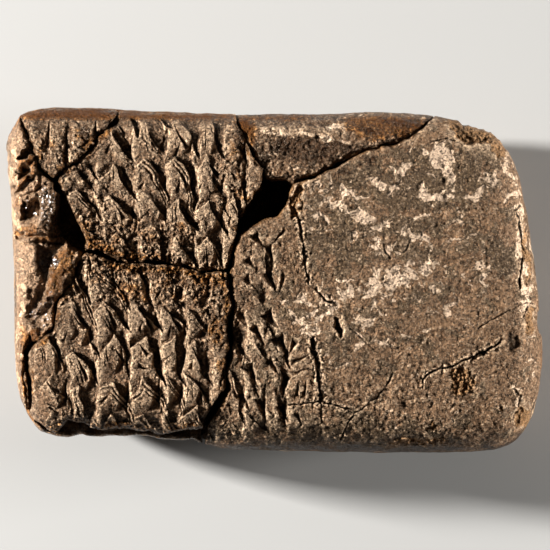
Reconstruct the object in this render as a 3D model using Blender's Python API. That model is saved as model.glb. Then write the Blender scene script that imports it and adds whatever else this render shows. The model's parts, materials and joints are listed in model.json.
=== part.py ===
"""Cuneiform tablet of clay, broken long ago and put back together from six fragments.

It lies on its reverse with the written face up: X along its length, Y across it, Z up, with the
origin at the middle of the underside. Lengths are millimetres until a mesh is made from them.
"""

import math
import random

import bmesh
import bpy
from mathutils import Vector, noise
from mathutils.bvhtree import BVHTree

MM = 0.001

# Driving dimensions of the whole tablet.
THICKNESS = 24.0
MID_HEIGHT = 12.5  # height at which the tablet is widest
DOME = 1.1  # rise of the written face from its shoulders to its middle
TOP_SHOULDER = 6.5  # how far in from the outline the rounding of the written face reaches
UNDER_SHOULDER = 13.0  # how far in the rounder reverse reaches before its flat spot
EDGE_FULLNESS = 2.3  # exponent of the rounded edge: 2 is an ellipse, more is squarer
UNDULATION = 0.3  # height of the hand-made unevenness of the written face
UNDULATION_LENGTH = 14.0

# Joints between the fragments.
JOINT_GAP = 0.4
FOOT_HEIGHT = 9.0  # below this the main fragment reaches further left, under the joint
FLAKE_FLOOR = 16.0  # the written flakes lie on the core at this height
FRACTURE_STEP = 1.7
FRACTURE_ROUGHNESS = 0.28

# Writing.
SIGN_PITCH = 2.55  # spacing of the strokes, along a line of writing and across it
STROKE_LENGTH = 2.2
STROKE_HEAD = 1.6
STROKE_DEPTH = 0.9
STROKE_MARGIN = 1.3  # bare clay between a stroke and the edge of its fragment
STROKE_RISE = 0.2  # how far a stroke's cutter stands above the face

# Points of the tablet's outline, clockwise from the top left corner.
OUTLINE = [
    (-37.4, 26.0), (-40.2, 23.4), (-41.2, 19.0), (-40.4, 14.0), (-39.8, 2.0), (-39.7, -9.0),
    (-39.2, -16.5), (-37.2, -21.6), (-32.6, -24.6), (-20.0, -25.6), (0.0, -26.2), (20.0, -26.5),
    (34.0, -26.0), (39.0, -22.6), (41.0, -15.5), (41.2, -8.5), (39.9, 4.0), (37.8, 15.5),
    (35.2, 21.4), (30.0, 24.2), (20.0, 25.7), (8.0, 25.5), (-6.0, 25.5), (-20.0, 26.0), (-30.0, 26.5),
]
OUTLINE_STEPS = 3
HALF_LENGTH = max(point[0] for point in OUTLINE)
HALF_WIDTH = max(point[1] for point in OUTLINE)

# Fracture lines on the written face. Both neighbours of a line share it.
OUTSIDE = 30.0
CORNER_JUNCTION = (-33.2, 14.8)
LEFT_JUNCTION = (-28.4, 4.3)
MIDDLE_JUNCTION = (-6.5, 1.2)
HOLE_TOP_LEFT = (-1.5, 15.4)
HOLE_TOP_RIGHT = (3.0, 14.8)
HOLE_FOOT = (-5.4, 6.2)
LOWER_CORNER = (-35.4, -22.0)
BOTTOM_JUNCTION = (-10.2, -22.0)

LEFT_CRACK = [(-39.6, 27.5), (-37.8, 23.1), (-35.8, 18.0), CORNER_JUNCTION]
CORNER_CRACK = [(-23.6, OUTSIDE), (-23.9, 24.6), (-27.0, 21.2), (-28.2, 18.9), (-31.0, 17.0), CORNER_JUNCTION]
HOLLOW_LEFT = [CORNER_JUNCTION, (-32.6, 9.8), (-31.9, 6.4), LEFT_JUNCTION]
HOLLOW_RIGHT = [CORNER_JUNCTION, (-31.3, 11.8), (-29.3, 7.4), LEFT_JUNCTION]
CROSS_CRACK = [LEFT_JUNCTION, (-25.9, 3.6), (-22.1, 2.6), (-12.4, 1.9), MIDDLE_JUNCTION]
UPPER_RIGHT = [(-6.0, OUTSIDE), (-5.5, 23.7), (-2.7, 18.4), HOLE_TOP_LEFT]
HOLE_LEFT = [HOLE_TOP_LEFT, (-3.2, 12.3), (-5.0, 8.9), HOLE_FOOT]
HOLE_TOP = [HOLE_TOP_LEFT, HOLE_TOP_RIGHT]
HOLE_RIGHT = [HOLE_TOP_RIGHT, (2.2, 12.0), (0.6, 9.9), (-2.6, 8.8), HOLE_FOOT]
MAIN_CRACK_UPPER = [HOLE_FOOT, (-6.4, 3.4), MIDDLE_JUNCTION]
MAIN_CRACK_LOWER = [MIDDLE_JUNCTION, (-6.0, -3.8), (-6.5, -10.0), (-7.6, -16.0), BOTTOM_JUNCTION]
MAIN_CRACK_END = [BOTTOM_JUNCTION, (-10.8, -OUTSIDE)]
TOP_CRACK = [(25.0, OUTSIDE), (24.4, 24.9), (19.5, 21.1), (12.5, 18.9), (6.0, 15.6), HOLE_TOP_RIGHT]
LOWER_LEFT = [LEFT_JUNCTION, (-31.6, -1.8), (-33.6, -6.4), (-37.0, -10.4), (-37.3, -18.0), LOWER_CORNER]
LOWER_EDGE = [LOWER_CORNER, (-33.0, -23.4), (-31.2, -21.8), (-24.0, -22.8), (-15.0, -23.6), BOTTOM_JUNCTION]
CORE_EDGE = [(-39.0, -22.6), (-33.0, -24.0), (-22.0, -24.0), (-14.0, -24.6), (-8.0, -24.4)]
FOOT_LINE = [(-9.0, OUTSIDE), (-8.4, 12.0), (-9.6, -4.0), (-11.0, -16.0), (-14.0, -OUTSIDE)]

# Ruled lines and cracks cut into the main fragment's face: their points, width and depth.
GROOVES = [
    ([(3.6, 9.7), (4.4, 6.2), (5.3, -0.5)], 0.5, 0.35),
    ([(6.1, -8.9), (6.6, -13.0), (7.3, -18.0)], 0.9, 0.5),
    ([(2.5, -18.9), (5.5, -18.5), (10.2, -19.2), (12.1, -19.8)], 0.35, 0.4),
    ([(10.4, -22.8), (12.4, -20.4), (15.6, -17.6), (18.1, -14.2)], 0.4, 0.5),
    ([(34.1, -9.4), (30.6, -11.5), (25.0, -13.6), (22.8, -16.0)], 0.5, 0.6),
    ([(37.2, 10.9), (37.7, 7.0), (37.4, -1.1)], 0.4, 0.5),
]

# Chips: node, centre on the written face, half sizes, and how far the middle lies under the face.
CHIPS = [
    ("main_fragment", (30.0, 23.2), (4.6, 2.0, 2.4), -0.6),
    ("main_fragment", (38.6, -6.8), (1.5, 2.6, 1.6), -0.3),
    ("main_fragment", (37.4, -21.0), (1.9, 2.2, 1.8), -0.4),
    ("main_fragment", (27.6, -14.8), (2.2, 2.3, 1.2), -0.6),
    ("main_fragment", (9.9, -7.0), (0.8, 1.5, 0.9), -0.1),
    ("left_core_fragment", (-37.6, 19.4), (1.3, 1.1, 1.8), -0.2),
    ("left_core_fragment", (-37.0, 13.8), (2.2, 1.5, 1.8), -0.2),
    ("left_core_fragment", (-36.4, 10.2), (1.9, 2.0, 2.2), -0.2),
    ("left_core_fragment", (-33.2, 1.0), (3.1, 4.4, 3.4), 0.2),
    ("left_core_fragment", (-36.0, -7.2), (1.5, 1.9, 2.0), 0.0),
    ("lower_inscribed_flake", (-34.6, -15.5), (2.4, 5.2, 1.6), -0.7),
    ("upper_inscribed_flake", (-24.6, 4.6), (2.4, 1.4, 1.6), -0.4),
    ("corner_flake", (-34.2, 25.2), (2.8, 1.6, 1.8), -0.6),
]
CHIP_ROUGHNESS = 0.22

# Lines of writing: node, where its first line stands, and how many lines.
WRITING = [
    ("corner_flake", -35.6, 5),
    ("upper_inscribed_flake", -30.6, 11),
    ("lower_inscribed_flake", -33.4, 11),
    ("main_fragment", -4.4, 3),
    ("main_fragment", 3.3, 1),
]
# The main fragment's single extra line is one short cell between the ruled line and the writing.
CELL_TOP = -9.5

CLAY = (0.240, 0.170, 0.118)
WRITTEN_CLAY = (0.215, 0.140, 0.088)
STAINED_CLAY = (0.190, 0.105, 0.055)
CORE_CLAY = (0.160, 0.090, 0.050)


def clear_scene():
    for obj in list(bpy.data.objects):
        bpy.data.objects.remove(obj, do_unlink=True)


def clay_material(name, colour, roughness):
    material = bpy.data.materials.new(name)
    material.use_nodes = True
    shader = material.node_tree.nodes["Principled BSDF"]
    shader.inputs["Base Color"].default_value = (*colour, 1.0)
    shader.inputs["Roughness"].default_value = roughness
    shader.inputs["Metallic"].default_value = 0.0
    return material


def smooth_loop(points, steps):
    """Closed Catmull-Rom loop through the points, with this many steps between neighbours."""
    count = len(points)
    loop = []
    for i in range(count):
        before, start, end, after = (Vector(points[(i + k) % count]) for k in (-1, 0, 1, 2))
        for step in range(steps):
            t = step / steps
            bend = (2 * before - 5 * start + 4 * end - after) * t * t
            twist = (3 * start - before - 3 * end + after) * t ** 3
            loop.append((2 * start + (end - before) * t + bend + twist) / 2)
    return loop


def tablet_outline():
    """The outline as a smooth loop, with the middle of its box at the origin."""
    loop = smooth_loop(OUTLINE, OUTLINE_STEPS)
    across = [point.x for point in loop]
    along = [point.y for point in loop]
    middle = Vector((min(across) + max(across), min(along) + max(along))) / 2
    return [point - middle for point in loop]


def ragged(points, seed):
    """The line with its long stretches broken up and moved a little to each side, like torn clay."""
    rng = random.Random(seed)
    line = [Vector(points[0])]
    for start, end in zip(points, points[1:]):
        along = Vector(end) - Vector(start)
        across = Vector((-along.y, along.x)).normalized()
        count = max(1, round(along.length / FRACTURE_STEP))
        for i in range(1, count):
            shift = rng.uniform(-FRACTURE_ROUGHNESS, FRACTURE_ROUGHNESS)
            line.append(Vector(start) + along * i / count + across * shift)
        line.append(Vector(end))
    return line


def joined(*lines):
    """One closed loop from lines that follow each other, with no point twice in a row."""
    loop = []
    for line in lines:
        for point in line:
            point = Vector(point)
            if not loop or (point - loop[-1]).length > JOINT_GAP:
                loop.append(point)
    if (loop[0] - loop[-1]).length < JOINT_GAP:
        loop.pop()
    return loop


def inset(loop, distance):
    """The loop moved inwards by this distance, or outwards if it is negative."""
    sharpest = 0.5
    neighbours = list(zip(loop[-1:] + loop[:-1], loop, loop[1:] + loop[:1]))
    area = sum(here.x * after.y - here.y * after.x for before, here, after in neighbours)
    side = math.copysign(1.0, area)
    moved = []
    for before, here, after in neighbours:
        arriving = (here - before).normalized()
        leaving = (after - here).normalized()
        first = Vector((-arriving.y, arriving.x)) * side
        second = Vector((-leaving.y, leaving.x)) * side
        inwards = (first + second).normalized()
        moved.append(here + inwards * distance / max(inwards.dot(first), sharpest))
    return moved


def mesh_object(name, bm):
    """An object of this name from a bmesh in millimetres."""
    bmesh.ops.recalc_face_normals(bm, faces=bm.faces)
    bmesh.ops.scale(bm, vec=Vector((MM, MM, MM)), verts=bm.verts)
    mesh = bpy.data.meshes.new(name)
    bm.to_mesh(mesh)
    bm.free()
    obj = bpy.data.objects.new(name, mesh)
    bpy.context.scene.collection.objects.link(obj)
    return obj


def prism(name, loop, low, high):
    """An upright solid on this loop, from one height to another."""
    bm = bmesh.new()
    base = bm.faces.new([bm.verts.new((point.x, point.y, low)) for point in loop])
    top = bmesh.ops.extrude_face_region(bm, geom=[base])
    risen = [item for item in top["geom"] if isinstance(item, bmesh.types.BMVert)]
    bmesh.ops.translate(bm, vec=Vector((0, 0, high - low)), verts=risen)
    return mesh_object(name, bm)


def profile_rings():
    """(inset from the outline, height) of each ring of the tablet, from its flat spot up."""
    shoulder_height = THICKNESS - DOME
    power = 2 / EDGE_FULLNESS
    rings = []
    for degrees in (90, 68, 46, 24, 0):
        angle = math.radians(degrees)
        inwards = UNDER_SHOULDER * (1 - math.cos(angle) ** power)
        rings.append((inwards, MID_HEIGHT * (1 - math.sin(angle) ** power)))
    for degrees in (20, 42, 64, 90):
        angle = math.radians(degrees)
        inwards = TOP_SHOULDER * (1 - math.cos(angle) ** power)
        rings.append((inwards, MID_HEIGHT + (shoulder_height - MID_HEIGHT) * math.sin(angle) ** power))
    for share in (0.3, 0.65, 0.93):
        inwards = TOP_SHOULDER + (HALF_WIDTH - TOP_SHOULDER) * share
        rings.append((inwards, shoulder_height + DOME * (1 - (1 - share) ** 2)))
    return rings


def blank_bmesh():
    """The whole unbroken tablet: its outline, drawn in ring by ring to a flat spot and a low dome."""
    outline = tablet_outline()
    bm = bmesh.new()
    rings = []
    for inwards, height in profile_rings():
        ring = []
        for point in outline:
            x = point.x * (1 - inwards / HALF_LENGTH)
            y = point.y * (1 - inwards / HALF_WIDTH)
            swell = max(0.0, height - MID_HEIGHT) / (THICKNESS - MID_HEIGHT) * UNDULATION
            wave = noise.noise(Vector((x, y, 0.0)) / UNDULATION_LENGTH) * swell
            ring.append(bm.verts.new((x, y, height + wave)))
        rings.append(ring)
    for lower, upper in zip(rings, rings[1:]):
        for i, vert in enumerate(lower):
            bm.faces.new((lower[i - 1], vert, upper[i], upper[i - 1]))
    bm.faces.new(rings[0])
    bm.faces.new(rings[-1])
    bmesh.ops.triangulate(bm, faces=bm.faces)
    return bm


def written_face(blank):
    """A function that gives the height of the written face over a point."""
    tree = BVHTree.FromBMesh(blank)

    def height_at(x, y):
        hit = tree.ray_cast(Vector((x, y, 2 * THICKNESS)), Vector((0, 0, -1)))[0]
        return hit.z if hit else None

    return height_at


def is_inside(point, loop):
    """Whether a point lies in the loop, by counting the edges to its right."""
    crossings = 0
    for start, end in zip(loop, loop[1:] + loop[:1]):
        if (start.y > point.y) != (end.y > point.y):
            share = (point.y - start.y) / (end.y - start.y)
            crossings += point.x < start.x + (end.x - start.x) * share
    return crossings % 2 == 1


def edge_distance(point, loop):
    """Distance from a point to the nearest edge of the loop."""
    nearest = OUTSIDE
    for start, end in zip(loop, loop[1:] + loop[:1]):
        along = end - start
        share = max(0.0, min(1.0, (point - start).dot(along) / along.length_squared))
        nearest = min(nearest, (start + along * share - point).length)
    return nearest


def cut(obj, cutter, operation="DIFFERENCE"):
    """Cuts an object by a helper, which stays in the scene as wire."""
    cutter.hide_render = True
    cutter.display_type = "WIRE"
    boolean = obj.modifiers.new(cutter.name, "BOOLEAN")
    boolean.object = cutter
    boolean.operation = operation
    boolean.solver = "EXACT"


def add_stroke(bm, centre, height, angle, size):
    """An inverted pyramid: a three-cornered head that runs out to a pointed tail."""
    depth = STROKE_DEPTH * size
    spread = (depth + STROKE_RISE) / depth
    half_head = STROKE_HEAD * size / 2
    half_length = STROKE_LENGTH * size / 2
    deepest = Vector((0.0, half_length * 0.45))
    corners = [Vector((-half_head, half_length)), Vector((half_head, half_length)), Vector((0.0, -half_length))]
    turn = math.cos(angle), math.sin(angle)

    def placed(flat, z):
        x = centre.x + flat.x * turn[0] - flat.y * turn[1]
        y = centre.y + flat.x * turn[1] + flat.y * turn[0]
        return bm.verts.new((x, y, z))

    base = [placed(deepest + (corner - deepest) * spread, height + STROKE_RISE) for corner in corners]
    tip = placed(deepest, height - depth)
    bm.faces.new(base)
    for i, corner in enumerate(base):
        bm.faces.new((base[i - 1], corner, tip))


def writing_cutter(name, region, first_line, lines, height_at, seed):
    """Lines of plain strokes that follow each other down the fragment. They spell nothing."""
    rng = random.Random(seed)
    bm = bmesh.new()
    rows = math.ceil(2 * HALF_WIDTH / SIGN_PITCH)
    top = rows * SIGN_PITCH / 2
    short_cell = lines == 1
    for line in range(lines):
        for row in range(rows):
            jitter = Vector((rng.uniform(-0.15, 0.15), rng.uniform(-0.15, 0.15)))
            centre = Vector((first_line + line * SIGN_PITCH, top - (row + 0.5) * SIGN_PITCH)) + jitter
            angle = rng.choice((0.0, 0.0, 0.6, -0.6, 1.57)) + rng.uniform(-0.12, 0.12)
            size = rng.uniform(0.85, 1.0)
            left_out = rng.random() < 0.12 or (short_cell and centre.y > CELL_TOP)
            if left_out or not is_inside(centre, region) or edge_distance(centre, region) < STROKE_MARGIN:
                continue
            height = height_at(centre.x, centre.y)
            add_stroke(bm, centre, height, angle, size)
    return mesh_object(name, bm)


def groove_cutter(name, points, width, depth, height_at, seed):
    """A three-cornered bar laid along a line of the written face, to cut a V groove."""
    rise = 0.4
    half = width / 2 * (depth + rise) / depth
    line = ragged(points, seed)
    bm = bmesh.new()
    sections = []
    for i, point in enumerate(line):
        along = (line[min(i + 1, len(line) - 1)] - line[max(i - 1, 0)]).normalized()
        across = Vector((-along.y, along.x)) * half
        height = height_at(point.x, point.y)
        corners = [(point + across, height + rise), (point - across, height + rise), (point, height - depth)]
        sections.append([bm.verts.new((flat.x, flat.y, z)) for flat, z in corners])
    for near, far in zip(sections, sections[1:]):
        for i in range(3):
            bm.faces.new((near[i - 1], near[i], far[i], far[i - 1]))
    bm.faces.new(sections[0])
    bm.faces.new(sections[-1])
    return mesh_object(name, bm)


def chip_cutter(name, centre, half_sizes, sunk, height_at, seed):
    """An uneven lump that takes a shallow chip out of the face."""
    bm = bmesh.new()
    bmesh.ops.create_icosphere(bm, subdivisions=2, radius=1.0)
    middle = Vector((centre[0], centre[1], height_at(*centre) - sunk))
    for vert in bm.verts:
        rough = 1 + CHIP_ROUGHNESS * noise.noise(vert.co * 2 + Vector((seed, 0, 0)))
        vert.co = middle + Vector([a * b * rough for a, b in zip(vert.co, half_sizes)])
    return mesh_object(name, bm)


def fracture_lines():
    """Every fracture line in its torn form, by name."""
    plain = {
        "left_crack": LEFT_CRACK, "corner_crack": CORNER_CRACK, "hollow_left": HOLLOW_LEFT,
        "hollow_right": HOLLOW_RIGHT, "cross_crack": CROSS_CRACK, "upper_right": UPPER_RIGHT,
        "hole_left": HOLE_LEFT, "hole_top": HOLE_TOP, "hole_right": HOLE_RIGHT,
        "main_upper": MAIN_CRACK_UPPER, "main_lower": MAIN_CRACK_LOWER, "main_end": MAIN_CRACK_END,
        "top_crack": TOP_CRACK, "lower_left": LOWER_LEFT, "lower_edge": LOWER_EDGE,
        "core_edge": CORE_EDGE, "foot_line": FOOT_LINE,
    }
    return {name: ragged(points, seed) for seed, (name, points) in enumerate(plain.items())}


def fragment_loops(lines):
    """The outline of each flake on the written face, and of what lies left of the main fragment."""
    reverse = {name: line[::-1] for name, line in lines.items()}
    top_left = [(-OUTSIDE * 2, OUTSIDE)]
    bottom_left = [(-OUTSIDE * 2, -OUTSIDE)]
    return {
        "corner_flake": joined(lines["left_crack"], reverse["corner_crack"], [(-39.6, OUTSIDE)]),
        "upper_inscribed_flake": joined(
            lines["corner_crack"], lines["hollow_right"], lines["cross_crack"], reverse["main_upper"],
            reverse["hole_left"], reverse["upper_right"],
        ),
        "lower_inscribed_flake": joined(
            lines["lower_left"], lines["lower_edge"], reverse["main_lower"], reverse["cross_crack"],
        ),
        "top_edge_fragment": joined(lines["upper_right"], lines["hole_top"], reverse["top_crack"]),
        "flake_bed": joined(
            lines["left_crack"], lines["hollow_left"], lines["lower_left"],
            [(-36.0, -OUTSIDE), (OUTSIDE, -OUTSIDE), (OUTSIDE, OUTSIDE), (-39.6, OUTSIDE)],
        ),
        "left_of_main": joined(
            lines["top_crack"], lines["hole_right"], lines["main_upper"], lines["main_lower"],
            lines["main_end"], bottom_left, top_left,
        ),
        "right_of_core": joined(
            lines["upper_right"], lines["hole_left"], lines["main_upper"], lines["main_lower"],
            lines["main_end"], [(2 * OUTSIDE, -OUTSIDE), (2 * OUTSIDE, OUTSIDE)],
        ),
        "left_of_foot": joined(lines["foot_line"], bottom_left, top_left),
        "right_of_foot": joined(lines["foot_line"], [(2 * OUTSIDE, -OUTSIDE), (2 * OUTSIDE, OUTSIDE)]),
        "below_core": joined(lines["core_edge"], [(OUTSIDE, -OUTSIDE), (-2 * OUTSIDE, -OUTSIDE)]),
    }


def fragment(name, material):
    obj = mesh_object(name, blank_bmesh())
    obj.data.materials.append(material)
    return obj


def main_fragment(loops, material):
    """The right-hand body, with the foot that runs on under the joint."""
    obj = fragment("main_fragment", material)
    half_gap = JOINT_GAP / 2
    above = prism("cut_left_of_main", inset(loops["left_of_main"], -half_gap), FOOT_HEIGHT - half_gap, 2 * THICKNESS)
    below = prism("cut_left_of_foot", inset(loops["left_of_foot"], -half_gap), -THICKNESS, FOOT_HEIGHT)
    cut(obj, above)
    cut(obj, below)
    return obj


def left_core_fragment(loops, material):
    """The body of the left half, hollowed where the written flakes lie on it."""
    obj = fragment("left_core_fragment", material)
    half_gap = JOINT_GAP / 2
    high = 2 * THICKNESS
    cut(obj, prism("cut_right_of_core", inset(loops["right_of_core"], -half_gap), FOOT_HEIGHT - 1, high))
    cut(obj, prism("cut_core_foot", inset(loops["right_of_foot"], -half_gap), -THICKNESS, FOOT_HEIGHT + half_gap))
    cut(obj, prism("cut_flake_bed", inset(loops["flake_bed"], -half_gap), FLAKE_FLOOR - half_gap, high))
    cut(obj, prism("cut_core_edge", loops["below_core"], MID_HEIGHT / 2, high))
    return obj


def flake(name, loops, floor, material):
    """A fragment that lies on the one below it at this height."""
    obj = fragment(name, material)
    half_gap = JOINT_GAP / 2
    region = prism("keep_" + name, inset(loops[name], half_gap), floor + half_gap, 2 * THICKNESS)
    cut(obj, region, "INTERSECT")
    return obj


def build():
    clear_scene()
    clay = clay_material("grey_brown_clay", CLAY, 0.8)
    written = clay_material("written_clay", WRITTEN_CLAY, 0.75)
    stained = clay_material("stained_clay", STAINED_CLAY, 0.6)
    core = clay_material("core_clay", CORE_CLAY, 0.55)
    loops = fragment_loops(fracture_lines())
    pieces = {
        "main_fragment": main_fragment(loops, clay),
        "left_core_fragment": left_core_fragment(loops, core),
        "upper_inscribed_flake": flake("upper_inscribed_flake", loops, FLAKE_FLOOR, written),
        "lower_inscribed_flake": flake("lower_inscribed_flake", loops, FLAKE_FLOOR, written),
        "corner_flake": flake("corner_flake", loops, FLAKE_FLOOR, written),
        "top_edge_fragment": flake("top_edge_fragment", loops, FOOT_HEIGHT, stained),
    }
    height_at = written_face(blank_bmesh())
    loops["main_fragment"] = joined(loops["left_of_main"][:-2], [(OUTSIDE, -OUTSIDE), (OUTSIDE, OUTSIDE)])
    for seed, (name, first_line, lines) in enumerate(WRITING):
        strokes = writing_cutter(f"strokes_{seed}", loops[name], first_line, lines, height_at, seed)
        cut(pieces[name], strokes)
    for seed, (points, width, depth) in enumerate(GROOVES):
        cut(pieces["main_fragment"], groove_cutter(f"groove_{seed}", points, width, depth, height_at, seed))
    for seed, (name, centre, half_sizes, sunk) in enumerate(CHIPS):
        cut(pieces[name], chip_cutter(f"chip_{seed}", centre, half_sizes, sunk, height_at, seed))


build()
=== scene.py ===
"""The looks of a cuneiform tablet: clay that broke long ago and was put back from six fragments.

Each fragment is carved as a solid field and turned into a mesh that replaces its CAD node.
Lengths are millimetres until a mesh is made from them.
"""

import json
import math

import bpy
import numpy as np
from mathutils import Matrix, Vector
from mathutils.bvhtree import BVHTree


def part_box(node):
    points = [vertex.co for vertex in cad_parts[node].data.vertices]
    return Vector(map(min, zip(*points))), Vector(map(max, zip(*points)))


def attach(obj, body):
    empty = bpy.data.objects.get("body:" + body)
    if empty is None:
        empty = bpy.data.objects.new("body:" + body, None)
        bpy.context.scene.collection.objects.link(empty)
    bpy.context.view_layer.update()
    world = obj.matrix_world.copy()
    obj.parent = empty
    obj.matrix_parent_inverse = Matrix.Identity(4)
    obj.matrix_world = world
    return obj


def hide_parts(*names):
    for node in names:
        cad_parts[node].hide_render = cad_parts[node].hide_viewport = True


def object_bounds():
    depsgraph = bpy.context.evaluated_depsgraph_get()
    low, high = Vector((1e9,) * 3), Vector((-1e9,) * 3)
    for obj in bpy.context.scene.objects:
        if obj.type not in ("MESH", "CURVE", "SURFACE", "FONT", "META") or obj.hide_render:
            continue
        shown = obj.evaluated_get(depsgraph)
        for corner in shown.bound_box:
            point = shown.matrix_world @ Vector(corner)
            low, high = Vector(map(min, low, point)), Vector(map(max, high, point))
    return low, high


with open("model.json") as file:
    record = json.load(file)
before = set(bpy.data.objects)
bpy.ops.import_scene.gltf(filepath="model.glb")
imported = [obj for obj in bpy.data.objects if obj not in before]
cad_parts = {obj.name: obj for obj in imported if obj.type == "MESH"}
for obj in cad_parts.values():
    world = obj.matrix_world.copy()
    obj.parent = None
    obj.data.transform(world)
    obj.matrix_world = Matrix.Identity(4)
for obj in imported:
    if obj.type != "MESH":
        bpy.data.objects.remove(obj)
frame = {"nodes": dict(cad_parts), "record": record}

MM = 0.001
CAD_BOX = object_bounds()
LOW = np.array(CAD_BOX[0]) / MM
HIGH = np.array(CAD_BOX[1]) / MM

# ---------------- whole tablet
HALF_LENGTH, HALF_WIDTH = (HIGH[0] - LOW[0]) / 2, (HIGH[1] - LOW[1]) / 2
FACE_RELIEF = 0.15  # how far the relief of the written face stands above its dome
THICKNESS = HIGH[2] - FACE_RELIEF
MID_HEIGHT = 12.5  # height at which the tablet is widest
DOME = 1.1  # rise of the CAD's written face from its shoulders to its middle
TOP_SHOULDER = 6.5  # reach of the rounded edge under the written face
UNDER_SHOULDER = 13.0  # reach of the rounder edge above the reverse
DOME_SWELL = 1.1  # the carved face rises this much more than the CAD's
EDGE_FULLNESS = 2.3  # exponent of the rounded edge: 2 is an ellipse, more is squarer
FOOT_HEIGHT = 9.0  # the main fragment's foot runs under the joint below this
FLAKE_FLOOR = 16.0  # the written flakes lie on the core at this height

# ---------------- fracture lines, left to right
OUTSIDE = 30.0  # a line that runs to here has left the tablet
FAR = 60.0

CORNER = (-33.2, 14.9)
LEFT_MEET = (-28.8, 4.3)
MIDDLE_MEET = (-6.8, 1.4)
HOLE_TOP_LEFT = (-1.5, 15.4)
HOLE_TOP_RIGHT = (3, 14.6)
HOLE_FOOT = (-5.3, 6.8)
LOW_CORNER = (-33.3, -23.7)
LOW_MEET = (-10.7, -22.8)

LEFT_CRACK = [
    (-39.5, 26.9), (-38.5, 24.3), (-37.3, 22), (-36.2, 19.2), (-35.3, 16.9), (-34.7, 16), CORNER,
]
CORNER_CRACK = [
    (-23.6, OUTSIDE), (-23.9, 24.6), (-25.6, 22.5), (-26.7, 22), (-27.2, 20.3), (-28.8, 18.9),
    (-29.6, 17.8), (-31.6, 16.9), (-32.5, 16.2), CORNER,
]
HOLLOW_LEFT = [CORNER, (-32.2, 12.9), (-32.4, 10.8), (-32.7, 8.9), (-32, 6.6), (-30.4, 5), LEFT_MEET]
HOLLOW_RIGHT = [CORNER, (-32.2, 13.2), (-30.7, 10.5), (-30.2, 9.4), (-29.2, 7.4), (-28.5, 6), LEFT_MEET]
CROSS_CRACK = [
    LEFT_MEET, (-27.2, 4.3), (-25.9, 3.8), (-24.2, 3.2), (-22.1, 2.6), (-19, 2.8), (-14.4, 2.3),
    (-12.4, 1.8), (-10.8, 1.2), (-9, 1.5), MIDDLE_MEET,
]
UPPER_RIGHT = [(-5.8, OUTSIDE), (-5.5, 23.7), (-4.4, 21.8), (-2.7, 18.2), (-1.6, 16.9), HOLE_TOP_LEFT]
HOLE_LEFT = [HOLE_TOP_LEFT, (-1.8, 13.8), (-3.3, 12.2), (-4.2, 10.8), (-5, 8.9), HOLE_FOOT]
HOLE_TOP = [HOLE_TOP_LEFT, (-0.2, 14.9), (1.3, 15.1), HOLE_TOP_RIGHT]
HOLE_RIGHT = [
    HOLE_TOP_RIGHT, (2.4, 13.1), (2.1, 11.8), (1.3, 10.8), (0.7, 9.7), (-1.8, 9.1), (-3, 8.3),
    (-4.4, 7.4), HOLE_FOOT,
]
MAIN_UPPER = [HOLE_FOOT, (-5.8, 5.2), (-6.3, 3.4), MIDDLE_MEET]
MAIN_LOWER = [
    MIDDLE_MEET, (-6.5, -1.5), (-6.1, -3.8), (-6.7, -6.9), (-6.5, -9.2), (-6.8, -11.5), (-7.3, -13.5),
    (-7, -16.3), (-7.9, -18), (-9.2, -19.8), (-10.2, -21.2), LOW_MEET,
]
MAIN_JOINT = MAIN_UPPER + MAIN_LOWER[1:]
MAIN_END = [LOW_MEET, (-11, -25.4), (-11.2, -OUTSIDE)]
TOP_CRACK = [
    (25.6, OUTSIDE), (24.5, 24.9), (22.5, 22.9), (21, 21.8), (19.5, 21.1), (17.9, 20.6), (16.2, 20.6),
    (16.1, 20), (14.1, 19.7), (11, 18.3), (9, 17.1), (5.9, 15.5), HOLE_TOP_RIGHT,
]
LOWER_LEFT = [
    LEFT_MEET, (-29.3, 2.8), (-30.4, 0), (-32.2, -2.6), (-32.8, -3.8), (-33.6, -7.7), (-35.2, -8.9),
    (-36.7, -9.8), (-37.6, -10.9), (-37.5, -13.1), (-37, -18.5), (-37.5, -20.3), (-36.2, -21.4),
    LOW_CORNER,
]
LOWER_EDGE = [
    LOW_CORNER, (-32.5, -23.1), (-31.3, -21.4), (-29, -21.7), (-26.7, -22.8), (-23.6, -22.8),
    (-19, -23.4), (-17.8, -24.2), (-14.4, -23.4), LOW_MEET,
]
FOOT_LINE = [(-9, OUTSIDE), (-8.4, 12), (-9.6, -4), (-11, -16), (-14, -OUTSIDE)]


def reverse(line):
    return line[::-1]


REGIONS = {
    "corner_flake": LEFT_CRACK + reverse(CORNER_CRACK) + [(-39.6, OUTSIDE)],
    "upper_inscribed_flake": CORNER_CRACK + HOLLOW_RIGHT + CROSS_CRACK + reverse(MAIN_UPPER)
    + reverse(HOLE_LEFT) + reverse(UPPER_RIGHT),
    "lower_inscribed_flake": LOWER_LEFT + LOWER_EDGE + reverse(MAIN_LOWER) + reverse(CROSS_CRACK),
    "top_edge_fragment": UPPER_RIGHT + HOLE_TOP + reverse(TOP_CRACK),
    "main_fragment": TOP_CRACK + HOLE_RIGHT + MAIN_UPPER + MAIN_LOWER + MAIN_END + [(FAR, -FAR), (FAR, FAR)],
    "left_core_fragment": UPPER_RIGHT + HOLE_LEFT + MAIN_UPPER + MAIN_LOWER + MAIN_END
    + [(-FAR, -FAR), (-FAR, FAR)],
    "strip": LEFT_CRACK + HOLLOW_LEFT + LOWER_LEFT + [(-33.0, -OUTSIDE), (-FAR, -OUTSIDE), (-FAR, FAR)],
    "foot": FOOT_LINE + [(FAR, -FAR), (FAR, FAR)],
}

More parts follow.
